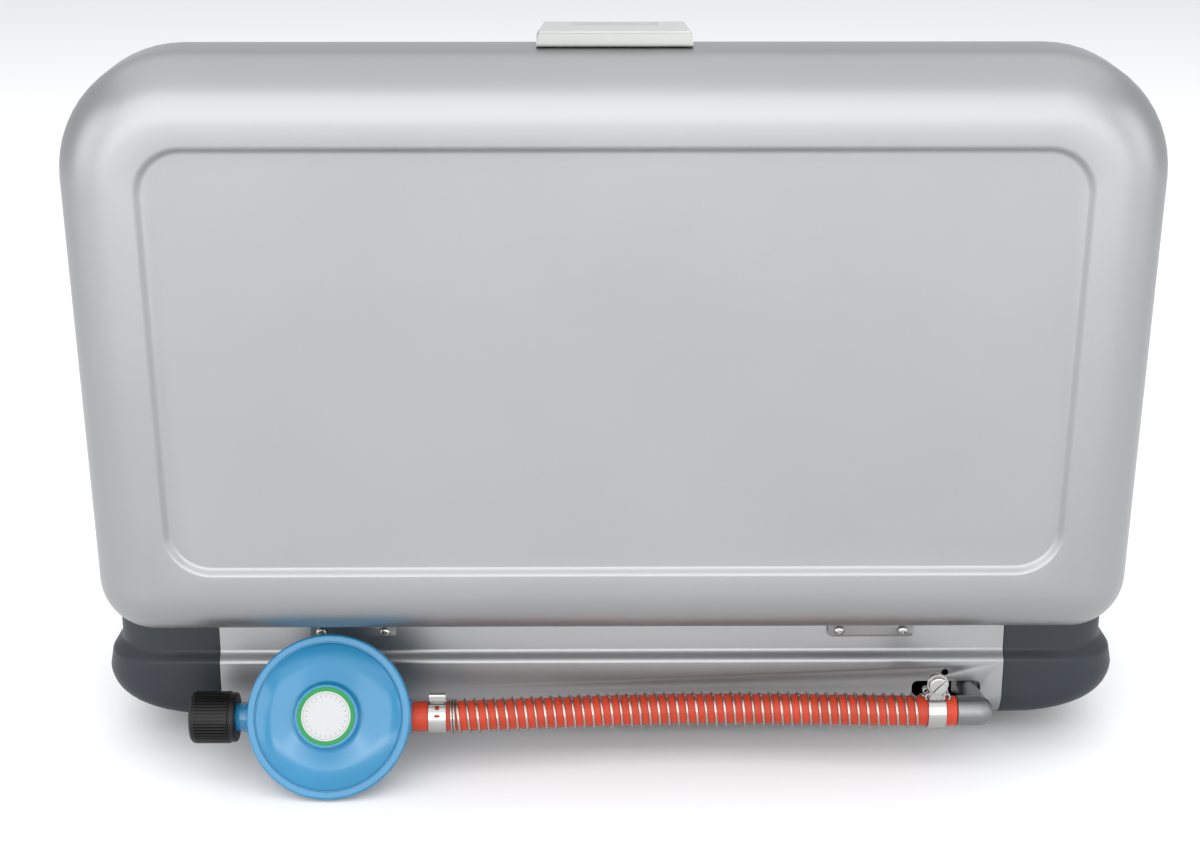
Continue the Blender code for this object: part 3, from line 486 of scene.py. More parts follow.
def guardSpring():
    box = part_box("hose_spring")
    wire, perTurn = hose["wireRadius"], hose["perTurn"]
    x, last = box[0].x + wire, box[1].x - wire
    reach = hose["radius"] + wire + 0.0002
    angle, dots = 0.0, []
    while x < last:
        middle, ahead = onHose(x), onHose(x + 0.002)
        along = (ahead - middle).normalized()
        side = along.cross(Vector((0, 0, 1))).normalized()
        up = side.cross(along)
        dots.append(middle + reach * (math.cos(angle) * up + math.sin(angle) * side))
        x += (hose["closePitch"] if last - x < hose["closeRun"] else hose["pitch"]) / perTurn
        angle += 2 * math.pi / perTurn
    piece = smooth(wireOf("guardSpring", dots, wire, 1), 60)
    return fit(piece, "base", "bright_steel", springSteel, "hose_spring")


earClamp = {"width": 0.009, "wall": 0.0007, "earHeight": 0.0046, "earHalf": 0.0021}
boltClamp = {"width": 0.009, "wall": 0.0008, "rise": 0.0160, "tabHalf": 0.0048, "tabWall": 0.0009,
             "tabCorner": 0.0032, "curl": 0.0015, "curlWall": 0.0007, "headRadius": 0.0047,
             "headDepth": 0.0026, "shank": 0.0020, "length": 0.0140, "slot": 0.0009, "gap": 0.0044}


def bandRing(name, x, width, wall, inner):
    half = width / 2
    ease = 0.0002
    profile = [(inner, -half), (inner + wall - ease, -half), (inner + wall, ease - half),
               (inner + wall, half - ease), (inner + wall - ease, half), (inner, half), (inner, -half)]
    return turned(name, profile, 96, moved(*onHose(x)) @ spun(90, "Y"))


def earBand():
    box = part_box("ear_clamp")
    x = (box[0].x + box[1].x) / 2
    inner, half = hose["radius"] + hose["bandGap"], earClamp["width"] / 2
    band = bandRing("earClamp", x, earClamp["width"], earClamp["wall"], inner)
    middle = onHose(x)
    top = inner + earClamp["wall"] / 2
    wide, tall = earClamp["earHalf"], earClamp["earHeight"]
    rise = [(-wide - 0.0026, top - 0.0004), (-wide - 0.0006, top + 0.0001)]
    rise += bow((-wide, top + 0.0009), 0.0004, -90, 0, 3)
    rise += bow((-wide + 0.0005, top + tall - 0.0010), 0.0008, 180, 90, 4)
    outline = rise + [(-y, z) for y, z in reversed(rise)]
    ear = chain("ear", [(x - half + 0.0003, middle.y + y, middle.z + z) for y, z in outline])
    drawn(ear, (2 * half - 0.0006, 0, 0))
    modify(ear, "SOLIDIFY", thickness=earClamp["wall"], offset=0)
    for place, radius, stretch in ((-0.0022, 0.0012, 1), (0.00198, 0.0007, 2.2)):  # punched hole and slot
        punch = drumOf("punch", radius, 0.004, 24)
        punch.data.transform(Matrix.Diagonal((stretch, 1, 1, 1)))
        carve(band, settle(punch, moved(*middle) @ spun(-52, "X") @ moved(0, place, inner + 0.0006)))
    soften(ear, 0.00012, 2, 50)
    return fit(smooth(together(band, ear)), "base", "bright_steel", brightSteel, "ear_clamp")


def boltBand():
    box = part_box("clamp_band")
    x = (box[0].x + box[1].x) / 2
    size, middle, inner = boltClamp, onHose(x), hose["radius"] + hose["bandGap"]
    band = bandRing("boltClamp", x, size["width"], size["wall"], inner)
    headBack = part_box("clamp_screw")[1].y - size["headDepth"]
    high, half = middle.z + size["rise"] + 0.0030, size["tabHalf"]
    for name, y in (("rearTab", headBack - size["gap"] - 0.0034), ("frontTab", headBack - 0.0010)):
        tab = blockOf(name, (x - half + 0.0008, y, middle.z + inner - 0.0002),
                      (x + half - 0.0008, y + size["tabWall"], high))
        roundCorners(tab, high, size["tabCorner"], 6)
        soften(tab, 0.0002, 2, 50)
        curls = []
        for side, start in ((-1, 240), (1, -60)):  # the tab's edges are rolled
            rolled = bow((x + side * (half - 0.0002), middle.z + size["rise"] - 0.0062), size["curl"],
                         start, start + side * 290, 18)
            roll = drawn(chain("roll", [(a, y - 0.0012, b) for a, b in rolled]), (0, 0.0034, 0))
            modify(roll, "SOLIDIFY", thickness=size["curlWall"], offset=0)
            curls.append(soften(roll, 0.00012, 1, 50))
        band = together(band, tab, *curls)
    return fit(smooth(band), "base", "bright_steel", brightSteel, "clamp_band")


def clampScrew():
    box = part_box("clamp_screw")
    placing = moved((box[0].x + box[1].x) / 2, box[1].y, (box[0].z + box[1].z) / 2) @ spun(-90, "X")
    radius, depth, shank, end = (boltClamp[key] for key in ("headRadius", "headDepth", "shank", "length"))
    profile = [(0, 0), (radius - 0.0012, 0)] + bow((radius - 0.0008, -0.0008), 0.0008, 90, 0, 5)[1:]
    profile += [(radius, 0.0003 - depth), (radius - 0.0003, -depth), (shank, -depth), (shank, 0.0004 - end),
                (shank - 0.0003, -end), (0, -end)]
    screw = turned("clampScrew", profile, 64)
    wide = boltClamp["slot"] / 2
    carve(screw, settle(blockOf("slot", (-0.01, -wide, -0.0013), (0.01, wide, 0.01)), spun(47, "Z")))
    soften(screw, 0.0001, 2, 50)
    settle(screw, placing)
    bore, edge, back = shank + 0.0002, radius + 0.0007, -depth - 0.0007
    profile = [(bore, -depth), (edge, -depth), (edge, back), (bore, back), (bore, -depth)]
    washer = soften(turned("washer", profile, 64, placing), 0.0001, 1, 50)
    return fit(smooth(together(screw, washer)), "base", "bright_steel", brightSteel, "clamp_screw")


hosePiece = gasHose()
springPiece = guardSpring()
clampPieces = [earBand(), boltBand(), clampScrew()]
print("hose and clamps made")

# Gas regulator, drawn lying on its back and then stood up

regulator = {"tilt": 26, "rim": 0.0406, "groove": 0.0365, "plane": 0.0120, "top": 0.0235, "boss": 0.0158,
             "label": 0.0142, "stub": 0.0073, "nutRadius": 0.0133, "nutRibs": 48, "nutCollar": 0.0034}
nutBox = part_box("hand_nut")
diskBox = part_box("regulator_diaphragm")
axisPoint = Vector(((diskBox[0].x + diskBox[1].x) / 2, (nutBox[0].y + nutBox[1].y) / 2,
                    (nutBox[0].z + nutBox[1].z) / 2))
standing = moved(*axisPoint) @ spun(regulator["tilt"] - 90, "X")


def regulatorCover():
    rim, groove, low, top, boss = (regulator[key] for key in ("rim", "groove", "plane", "top", "boss"))
    low += 0.0008
    profile = [(0, top), (regulator["label"] + 0.0002, top)]
    profile += bow((boss - 0.0012, top - 0.0012), 0.0012, 90, 8, 5)[1:]
    profile += bow((boss + 0.0026, top - 0.0029), 0.0022, 186, 262, 6)
    profile += [(0.0260, top - 0.0068), (groove - 0.0009, low + 0.0023), (groove - 0.0005, low + 0.0019),
                (groove - 0.0002, low + 0.0012), (groove + 0.0002, low + 0.0012),
                (groove + 0.0005, low + 0.0018)]
    profile += bow((rim - 0.0014, low + 0.0006), 0.0014, 90, 0, 7)
    profile += [(rim, low), (0, low)]
    cover = smooth(turned("regulatorCover", profile, 160, standing), 40)
    return fit(cover, "base", "blue_enamel", blueEnamel, "regulator_cover")


def regulatorBody():
    rim, plane = regulator["rim"], regulator["plane"]
    profile = [(0, plane - 0.0004), (rim - 0.0003, plane - 0.0004), (rim, plane - 0.0007)]
    profile += [(rim, plane - 0.0013), (rim - 0.0004, plane - 0.0016), (0.0366, plane - 0.0016)]
    profile += bow((0.0366, 0.0084), 0.0020, 90, 150, 4)
    profile += [(0.0318, 0.0068), (0.0228, 0.0010), (0.0182, -0.0056)]
    profile += bow((0.0150, -0.0080), 0.0030, 10, -90, 6)
    profile += [(0, -0.0110)]
    body = turned("regulatorBody", profile, 128)
    start, end = (corner.x - axisPoint.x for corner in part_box("regulator_body"))
    for first, last, radius in ((start, -0.010, hose["radius"] + 0.0009), (0.010, end, regulator["stub"])):
        pipe = drumOf("pipe", radius, last - first, 64, "X", ((first + last) / 2, 0, 0))
        carve(body, pipe, "UNION")
    soften(body, 0.0006, 3, 50)
    carve(body, drumOf("bore", 0.0026, 0.03, 32, "X", (end, 0, 0.001)))
    return fit(smooth(settle(body, standing), 40), "base", "blue_enamel", blueEnamel, "regulator_body")


def labelFinish():
    turn = standing.to_euler()
    green, ring, ticksIn, ticksOut = 0.0121, 0.0112, 0.0092, 0.0104  # radii of the printed marks

    def varying(tone, place):
        face = tone.add("Mapping", {"vector_type": "TEXTURE"},
                        {"Vector": place, "Location": axisPoint, "Rotation": turn})
        flat = tone.add("VectorMath", {"operation": "MULTIPLY"}, {0: face, 1: (1, 1, 0)})
        reach = tone.add("VectorMath", {"operation": "LENGTH"}, {0: flat}, 1)
        thin = tone.add("Math", {"operation": "COMPARE"}, {0: reach, 1: ring, 2: 0.00016})
        parts = tone.add("SeparateXYZ", None, {0: face})
        up = Tone(parts.tree, parts.socket.node.outputs[1])
        beat = tone.maths("COSINE", tone.maths("ARCTAN2", up, parts) * 24.0)
        ticks = tone.maths("GREATER_THAN", beat, 0.82) * tone.maths("GREATER_THAN", reach, ticksIn)
        ticks = ticks * tone.maths("LESS_THAN", reach, ticksOut)
        speck = tone.noise(place, 1800, 2)
        white = tone.mix(speck, (0.40, 0.41, 0.415, 1), (0.45, 0.45, 0.45, 1))
        marked = tone.mix(tone.maths("MAXIMUM", thin, ticks) * 0.6, white, (0.16, 0.17, 0.18, 1))
        border = tone.maths("GREATER_THAN", reach, green)
        return {"Base Color": tone.mix(border, marked, (0.008, 0.20, 0.045, 1)),
                "Roughness": 0.34 + (speck - 0.5) * 0.1}
    return finish("labelPrint", dull, varying)


def regulatorLabel():
    radius, top = regulator["label"], regulator["top"] + 0.0003
    profile = [(0, top + 0.0004), (radius - 0.0002, top + 0.0004), (radius, top + 0.0002), (radius, top),
               (0, top)]
    label = smooth(turned("regulatorLabel", profile, 96, standing), 30)
    return fit(label, "base", "white_label", labelFinish(), "regulator_label")


def handNut():
    radius, half = regulator["nutRadius"], (nutBox[1].x - nutBox[0].x) / 2
    bore, collar, ribs = regulator["stub"] + 0.0003, regulator["nutCollar"], regulator["nutRibs"]
    nut = turned("handNut", [(bore, half), (radius - 0.0032, half), (radius - 0.0016, half - 0.0004),
                             (radius - 0.0006, half - 0.0014), (radius - 0.0003, half - 0.0030),
                             (radius - 0.0003, collar - half), (radius - 0.0009, collar - half - 0.0004),
                             (radius - 0.0009, 0.0006 - half), (radius - 0.0014, -half), (bore, -half),
                             (bore, half)], ribs * 2)

    def onRib(place, normal):
        step = math.degrees(math.atan2(place.y, place.x)) / (180 / ribs)
        outside = math.hypot(place.x, place.y) > radius - 0.0008 and abs(normal.z) < 0.1
        return outside and collar - half < place.z < half - 0.0030 and math.floor(step) % 2 == 0

    pick(nut, onRib)
    bpy.ops.mesh.inset(thickness=0.00012, depth=0.0, use_individual=True)
    bpy.ops.mesh.extrude_faces_move(TRANSFORM_OT_shrink_fatten={"value": -0.0007, "use_even_offset": False})
    done()
    placing = moved((nutBox[0].x + nutBox[1].x) / 2, axisPoint.y, axisPoint.z) @ spun(90, "Y")
    settle(tidy(nut), placing)
    return fit(smooth(nut, 30), "cylinder_nut", "black_plastic", blackPlastic, "hand_nut")


def crimpedEdge():  # the diaphragm's rim, pinched between the two halves
    plane, rim = regulator["plane"], regulator["rim"]
    profile = [(0, plane + 0.0006), (rim - 0.0009, plane + 0.0006), (rim - 0.0009, plane - 0.0002),
               (0, plane - 0.0002)]
    edge = smooth(turned("regulatorDiaphragm", profile, 96, standing), 30)
    return fit(edge, "base", "black_rubber", blackRubber, "regulator_diaphragm")


regulatorPieces = [regulatorCover(), regulatorBody(), regulatorLabel(), handNut(), crimpedEdge()]
hoseLength = sum((b - a).length for a, b in zip(hoseLine, hoseLine[1:]))
print("regulator made")


# Base

def lofted(name, levels, steps=10, capped=False):  # (half, front, back, height, radii) outlines, joined up
    rings = [roundedSheet(name, (-half, near), (half, far), height, radii, steps)
             for half, near, far, height, radii in levels]
    cap = [copyOf(rings[-1], name)] if capped else []
    piece = together(*rings)
    pick(piece, everywhere)
    bpy.ops.mesh.delete(type="ONLY_FACE")
    bpy.ops.mesh.select_all(action="SELECT")
    bpy.ops.mesh.bridge_edge_loops()
    done()
    return tidy(together(piece, *cap))


def facing(piece, direction):  # the face farthest that way looks that way
    direction = Vector(direction)
    last = max(piece.data.polygons, key=lambda face: face.center.dot(direction))
    if last.normal.dot(direction) < 0:
        pick(piece, everywhere)
        bpy.ops.mesh.flip_normals()
        done()
    return piece


def drawnOut(name, profile, half):  # a (y, z) line drawn out along X
    return drawn(chain(name, [(-half, y, z) for y, z in profile]), (2 * half, 0, 0))


def shoulder(wall, steps):  # the back wall's pressed step
    dots = []
    for step in range(steps + 1):
        rise = (1 - math.cos(math.pi * step / steps)) / 2
        dots.append((wall + stove["step"] * rise, stove["low"] + 0.040 - 0.0065 * step / steps))
    return dots


front = {"x": 0.1227, "level": stove["low"] + 0.038, "stemHole": 0.0043, "buttonHole": 0.0078,
         "face": stove["front"] - 0.0038, "radius": 0.004, "skirt": stove["low"] + 0.019}
inlet = {"slot": (-0.1907, -0.1552), "slotZ": (0.0265, 0.0370), "vent": (-0.1720, 0.0418)}


def frontHoles(piece, depth):  # for the tap stems and the igniter
    for x, radius, sides in ((-front["x"], front["stemHole"], 32), (front["x"], front["stemHole"], 32),
                             (0, front["buttonHole"], 40)):
        carve(piece, drumOf("hole", radius, depth, sides, "Y", (x, stove["front"], front["level"])))


def baseShell():
    wall, low, high, face = stove["wall"], stove["low"], stove["high"], stove["front"]
    bend = 0.016
    profile = [(wall - stove["lip"], high)] + bow((wall - 0.002, high - 0.002), 0.002, 90, 0, 6)
    profile += shoulder(wall, 12)
    profile += bow((wall + stove["step"] - bend, low + bend), bend, 0, -90, 14)
    profile += bow((face + bend, low + bend), bend, -90, -180, 14)
    profile += [(face, high - 0.0031)]
    piece = facing(drawnOut("baseShell", profile, stove["panelHalf"]), (0, 0, -1))
    modify(piece, "SOLIDIFY", thickness=stove["sheet"], offset=-1, use_even_offset=True)
    slot = blockOf("slot", (inlet["slot"][0], wall - 0.02, inlet["slotZ"][0]),
                   (inlet["slot"][1], wall + 0.02, inlet["slotZ"][1]))
    pick(slot, lambda a, b: abs(a.y - b.y) > 0.01, "EDGE")
    bpy.ops.mesh.bevel(offset=0.0030, segments=8, affect="EDGES")
    done()
    carve(piece, slot)
    carve(piece, drumOf("vent", 0.0018, 0.04, 32, "Y", (inlet["vent"][0], wall, inlet["vent"][1])))
    frontHoles(piece, 0.02)
    soften(piece, 0.0002, 2, 55)
    return fit(smooth(piece, 40), "base", "satin_steel", satinSteel, "base_shell")


def sideHousing(name, side, node):
    inboard, wall, high = stove["panelHalf"] + stove["fit"], stove["wall"], stove["high"]
    half, low, step, foot = stove["half"], stove["low"], stove["step"], 0.016
    levels = [(stove["trayHalf"], stove["trayFront"], wall - stove["lip"], high, (0.016, 0.016))]

    def level(half, out, height):
        radii = [min(radius, half - inboard - 0.003) for radius in (0.050, 0.028)]
        levels.append((half, stove["front"] - out, wall + out, height, radii))

    for ease, drop in ((0.0015, 0.0001), (0.0004, 0.0005), (0, 0.0015)):  # the top edge's round
        level(half - ease, -ease, high - drop)
    for out, height in shoulder(0.0, 10):
        level(half + stove["bulge"] * 0.75 * out / step, out, height)
    for index in range(15):  # the bottom tucks in all round, and more at the ends
        angle = math.pi / 2 * index / 14
        height = low + 0.025 * (1 - math.sin(angle))
        below = max(0.0, (low + foot - height) / foot)
        tuck = foot * (1 - math.sqrt(max(0.0, 1 - below * below)))
        level(half + stove["bulge"] - 0.040 + 0.040 * math.cos(angle), step - tuck, height)
    piece = lofted(name, levels, 12, True)
    pick(piece, everywhere)
    bpy.ops.mesh.bisect(plane_co=(side * inboard, 0, 0), plane_no=(side, 0, 0), clear_inner=True,
                        use_fill=False)
    done()
    facing(piece, (side, 0, 0))
    modify(piece, "SOLIDIFY", thickness=stove["plastic"], offset=-1)
    soften(piece, 0.0003, 2, 60)
    return fit(smooth(piece, 40), "base", "slate_plastic", slatePlastic, node)


def rubberFoot(name, node):
    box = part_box(node)
    middle = (box[0] + box[1]) / 2
    radius, top = (box[1].x - box[0].x) / 2, box[1].z
    profile = [(0, top), (radius, top), (radius, top - 0.0030), (radius - 0.0006, top - 0.0036),
               (radius - 0.0006, top - 0.0042), (radius, top - 0.0048), (radius - 0.0009, 0.0014)]
    profile += bow((radius - 0.0022, 0.0012), 0.0012, 5, -90, 5)
    profile += [(0.0042, 0), (0.0038, 0.0016), (0, 0.0016)]
    foot = turned(name, profile, 64, moved(middle.x, middle.y, 0))
    return fit(smooth(foot, 40), "base", "black_rubber", blackRubber, node)


baseShell()
sideHousing("sideHousingLeft", 1, "side_housing_left")
sideHousing("sideHousingRight", -1, "side_housing_right")
for end in ("back", "front"):
    for side in ("left", "right"):
        rubberFoot("rubberFoot" + end.title() + side.title(), "rubber_foot_%s_%s" % (end, side))
print("base made")

# Lid, drawn shut and then swung open

hinge = {"axis": Vector((0, 0.122106, 0.0775)), "open": -94, "x": 0.133, "half": 0.022, "leaf": 0.0165,
         "corner": 0.0022, "sheet": 0.0012, "seat": -0.0029, "knuckle": 0.0032, "pin": 0.0014,
         "headRadius": 0.0028}
lid = {"rim": stove["high"] + 0.001, "half": 0.253, "height": 0.0479, "edge": 0.0285, "corners": (0.057, 0.028),
       "margin": 0.0375, "slope": 0.0045, "depth": 0.0025, "corner": 0.023}
swung = moved(*hinge["axis"]) @ spun(hinge["open"], "X") @ moved(*-hinge["axis"])


def lidShell():
    rim, top, edge = lid["rim"], lid["rim"] + lid["height"], lid["edge"]

    def outline(inset, height, radii=None):
        radii = radii or [max(radius - inset, 0.0008) for radius in lid["corners"]]
        return (lid["half"] - inset, stove["front"] + inset, stove["wall"] - inset, height, radii)

    levels = [outline(0, rim), outline(0, rim + 0.008)]
    for step in range(17):
        angle = math.pi / 2 * step / 16
        levels.append(outline(edge * (1 - math.cos(angle)), top - edge * (1 - math.sin(angle))))
    shell = lofted("lidShell", levels, 14)
    levels = []
    for step in range(9):
        t = step / 8
        radius = lid["corner"] - lid["slope"] * t
        drop = lid["depth"] * (1 - math.cos(math.pi * t)) / 2
        levels.append(outline(lid["margin"] + lid["slope"] * t, top - drop, (radius, radius)))
    shell = together(shell, lofted("recess", levels, 14, True))
    shell.name = "lidShell"
    pick(shell, lambda a, b: min(a.z, b.z) > top - 0.000002, "EDGE")
    bpy.ops.mesh.bridge_edge_loops()
    done()
    facing(tidy(shell), (0, 0, 1))
    modify(shell, "SOLIDIFY", thickness=stove["sheet"], offset=-1)
    soften(shell, 0.0002, 2, 60)
    settle(shell, swung)
    return fit(smooth(shell, 30), "lid", "satin_steel", satinSteel, "lid_shell")


def hingeLeaf(name, x, down, body, node):
    axis, half, knuckle = hinge["axis"], hinge["half"], hinge["knuckle"]
    third, gap, over = half / 3, 0.0003, 0.0002
    near, far = axis.y + hinge["seat"], axis.z + down * hinge["leaf"]
    leaf = blockOf(name, (x - half, near, min(axis.z, far)),
                   (x + half, near + hinge["sheet"], max(axis.z, far)))
    roundCorners(leaf, far, hinge["corner"], 8)
    if down < 0:
        barrels = [(-half - over, -third), (third, half + over)]
        gaps = [(-third - gap, third + gap)]
    else:
        barrels = [(gap - third, third - gap)]
        gaps = [(-half - 0.001, gap - third), (third - gap, half + 0.001)]
    for first, last in barrels:
        roll = drumOf("roll", knuckle, last - first, 48, "X", (x + (first + last) / 2, axis.y, axis.z))
        carve(leaf, roll, "UNION")
    reach = knuckle + 2 * gap
    for first, last in gaps:
        carve(leaf, blockOf("gap", (x + first, axis.y - reach, axis.z - reach),
                            (x + last, axis.y + reach, axis.z + reach)))
    carve(leaf, drumOf("bore", hinge["pin"] + 0.0002, 2 * half + 0.002, 32, "X", (x, axis.y, axis.z)))
    soften(leaf, 0.00015, 2, 50)
    if down > 0:
        settle(leaf, swung)
    return fit(smooth(leaf, 40), body, "satin_steel", satinSteel, node)


def hingePin(name, x, node):
    half, pin, ease = hinge["half"] + 0.0005, hinge["pin"], 0.0004
    profile = [(0, half), (pin - ease, half), (pin, half - ease), (pin, ease - half), (pin - ease, -half),
               (0, -half)]
    placing = moved(x, hinge["axis"].y, hinge["axis"].z) @ spun(90, "Y")
    return fit(smooth(turned(name, profile, 40, placing)), "base", "bright_steel", brightSteel, node)


def crossScrew(name, x, z, node):
    radius, shank = hinge["headRadius"], 0.0014
    profile = [(0, 0.0017), (0.0009, 0.00168), (0.0016, 0.0015), (0.0022, 0.00115), (0.0026, 0.0007),
               (radius, 0.0003), (radius, 0), (shank, 0), (shank, -0.0056), (0.0010, -0.0060), (0, -0.0060)]
    screw = turned(name, profile, 48)
    for turn in (20, 110):
        wing = blockOf("wing", (-0.0014, -0.00026, 0.0008), (0.0014, 0.00026, 0.01))
        carve(screw, settle(wing, spun(turn + 70 * x, "Z")))
    seat = hinge["axis"].y + hinge["seat"] + hinge["sheet"] + 0.0003
    settle(screw, moved(x, seat, z) @ spun(-90, "X"))
    return fit(smooth(screw, 40), "base", "bright_steel", brightSteel, node)


lidShell()
for side, x in (("left", hinge["x"]), ("right", -hinge["x"])):
    hingeLeaf("hingeBaseLeaf" + side.title(), x, -1, "base", "hinge_base_leaf_" + side)
    hingeLeaf("hingeLidLeaf" + side.title(), x, 1, "lid", "hinge_lid_leaf_" + side)
    hingePin("hingePin" + side.title(), x, "hinge_pin_" + side)
for index in range(4):
    node = "hinge_screw_%d" % (index + 1)
    middle = (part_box(node)[0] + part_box(node)[1]) / 2
    crossScrew("hingeScrew%d" % (index + 1), middle.x, middle.z, node)
print("lid and hinges made")


# Latch

latch = {"half": 0.0353, "pinOut": 0.0046, "rise": 0.0150, "outer": -0.0033, "low": -0.0235, "high": 0.0034,
         "rim": -0.0148, "inner": 0.0040, "over": 0.0003, "draft": 0.0015, "taper": 0.0019, "lug": 0.0018,
         "lugX": 0.026, "plate": (0.0026, 0.0043), "plateZ": (-0.0115, -0.0046)}
latchPlace = swung @ moved(0, stove["front"] - latch["pinOut"], lid["rim"] + latch["rise"])


def latchLever():  # drawn round its pin, then put on the lid's edge
    outer, low, high, inner = (latch[key] for key in ("outer", "low", "high", "inner"))
    profile = [(outer, low + 0.0012)] + bow((outer + 0.0010, low + 0.0010), 0.0010, 180, 270, 4)
    profile += [(latch["over"], low), (latch["over"], low + 0.0015), (latch["over"] - 0.0017, low + 0.0015),
                (latch["over"] - 0.0017, low + 0.0050), (latch["over"], low + 0.0050),
                (latch["over"], latch["rim"]), (inner, latch["rim"])]
    profile += bow((inner - 0.0018, high - 0.0018), 0.0018, 0, 90, 8)
    profile += bow((outer + 0.0008, high - 0.0008), 0.0008, 90, 180, 5) + [(outer, low + 0.0012)]
    lever = drawnOut("latchLever", profile, latch["half"])
    for side in (-1, 1):
        pick(lever, lambda a, b: min(side * a.x, side * b.x) > latch["half"] - 1e-5, "EDGE")
        bpy.ops.mesh.edge_face_add()
        done()
    tidy(lever)
    for near, less in ((lambda place, normal: place.y < outer + 0.0012, latch["draft"]),
                       (lambda place, normal: place.z < low + 0.0055, latch["taper"])):
        pick(lever, near, "VERT")
        narrow = (latch["half"] - less) / latch["half"]
        bpy.ops.transform.resize(value=(narrow, 1, 1), center_override=(0, 0, 0))
        done()
    inside = latch["half"] - 0.003
    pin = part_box("latch_pin")
    carve(lever, drumOf("pinRoom", latch["lug"] + 0.0006, 2 * inside, 40, "X"))
    carve(lever, drumOf("pinBore", 0.0012, pin[1].x - pin[0].x + 0.0006, 32, "X"))
    carve(lever, blockOf("room", (-inside, -0.0021, -0.0125), (inside, 0.01, 0)))
    for step in range(5):  # finger ridges near the hook
        z = low + 0.0042 + 0.0017 * step
        carve(lever, blockOf("rib", (-0.020, outer - 0.001, z), (0.020, outer + 0.00035, z + 0.0007)))
    groove = blockOf("groove", (-0.05, outer + 0.0010, high - 0.00025), (0.05, outer + 0.0013, high + 0.01))
    carve(lever, groove)
    soften(lever, 0.00025, 2, 50)
    settle(lever, latchPlace)
    return fit(smooth(lever, 35), "latch_lever", "grey_plastic", latchPlastic, "latch")


def latchBracket():
    near, far = latch["plate"]
    low, high = latch["plateZ"]
    bracket = blockOf("latchBracket", (-0.030, near, low), (0.030, far, high))
    for side in (-1, 1):
        x = side * latch["lugX"]
        lug = blockOf("lug", (x - 0.0018, -latch["lug"], -0.0085), (x + 0.0018, far, -0.0055))
        column = blockOf("column", (x - 0.0018, -latch["lug"], -0.0056), (x + 0.0018, latch["lug"], 0))
        carve(lug, column, "UNION")
        carve(lug, drumOf("nose", latch["lug"], 0.0036, 40, "X", (x, 0, 0)), "UNION")
        carve(bracket, lug, "UNION")
        for place in (-0.012, 0.012):
            carve(bracket, drumOf("rivet", 0.0012, 0.01, 24, "Y", (place, near, (low + high) / 2)))
    carve(bracket, drumOf("bore", 0.0011, 0.07, 32, "X"))
    soften(bracket, 0.0002, 2, 50)
    settle(bracket, latchPlace)
    return fit(smooth(bracket, 40), "lid", "bright_steel", brightSteel, "latch_bracket")


latchLever()
latchBracket()
fit(refined("latchCatch", "latch_catch", 0.0003), "base", "grey_plastic", latchPlastic, "latch_catch")
print("latch made")


# Gas inlet

def inletElbow():
    piece = bpy.data.objects.new("inletElbow", nodes["inlet_elbow"].data.copy())
    bpy.context.scene.collection.objects.link(piece)
    tidy(piece, 0.00001)
    modify(piece, "REMESH", mode="VOXEL", voxel_size=0.00045, adaptivity=0)
    modify(piece, "SMOOTH", factor=0.5, iterations=14)
    modify(piece, "DECIMATE", ratio=0.4)
    return fit(smooth(piece, 60), "base", "zinc_casting", castZinc, "inlet_elbow")


inletElbow()
print("inlet made")


# Front: fascia, knobs and igniter button

knob = {"radius": 0.017, "depth": 0.0165, "face": 0.0118, "gripHalf": 0.0035, "flutes": 24}


def onFront(x, y):  # a place on the front, looking out of it
    return moved(x, y, front["level"]) @ spun(90, "X")


def fasciaPanel():
    face, high, radius, hem = front["face"], stove["high"], front["radius"], 0.0022
    profile = [(face + hem, front["skirt"])]
    profile += bow((face + hem, front["skirt"] + hem), hem, -90, -180, 5)
    profile += bow((face + radius, high - radius), radius, 180, 90, 8) + [(stove["trayFront"], high)]
    panel = facing(drawnOut("fasciaPanel", profile, stove["panelHalf"] - stove["fit"]), (0, 0, 1))
    modify(panel, "SOLIDIFY", thickness=stove["plastic"], offset=-1, use_even_offset=True)
    frontHoles(panel, 0.03)
    soften(panel, 0.0003, 2, 55)
    return fit(smooth(panel, 40), "base", "front_steel", fasciaSteel, "front_panel")


def dialMarks(name, x):
    reach, half, marks = 0.0212, 0.0004, []
    for step in range(9):  # nine strokes over half a turn, each longer than the last
        mark = blockOf("mark", (reach, -half, -0.0001), (reach + 0.0012 + 0.0004 * step, half, 0.0001))
        marks.append(settle(mark, onFront(x, front["face"]) @ spun(90 + 22.5 * step, "Z")))
    piece = together(*marks)
    piece.name = name
    return fit(piece, "base", "black_plastic", blackPlastic)


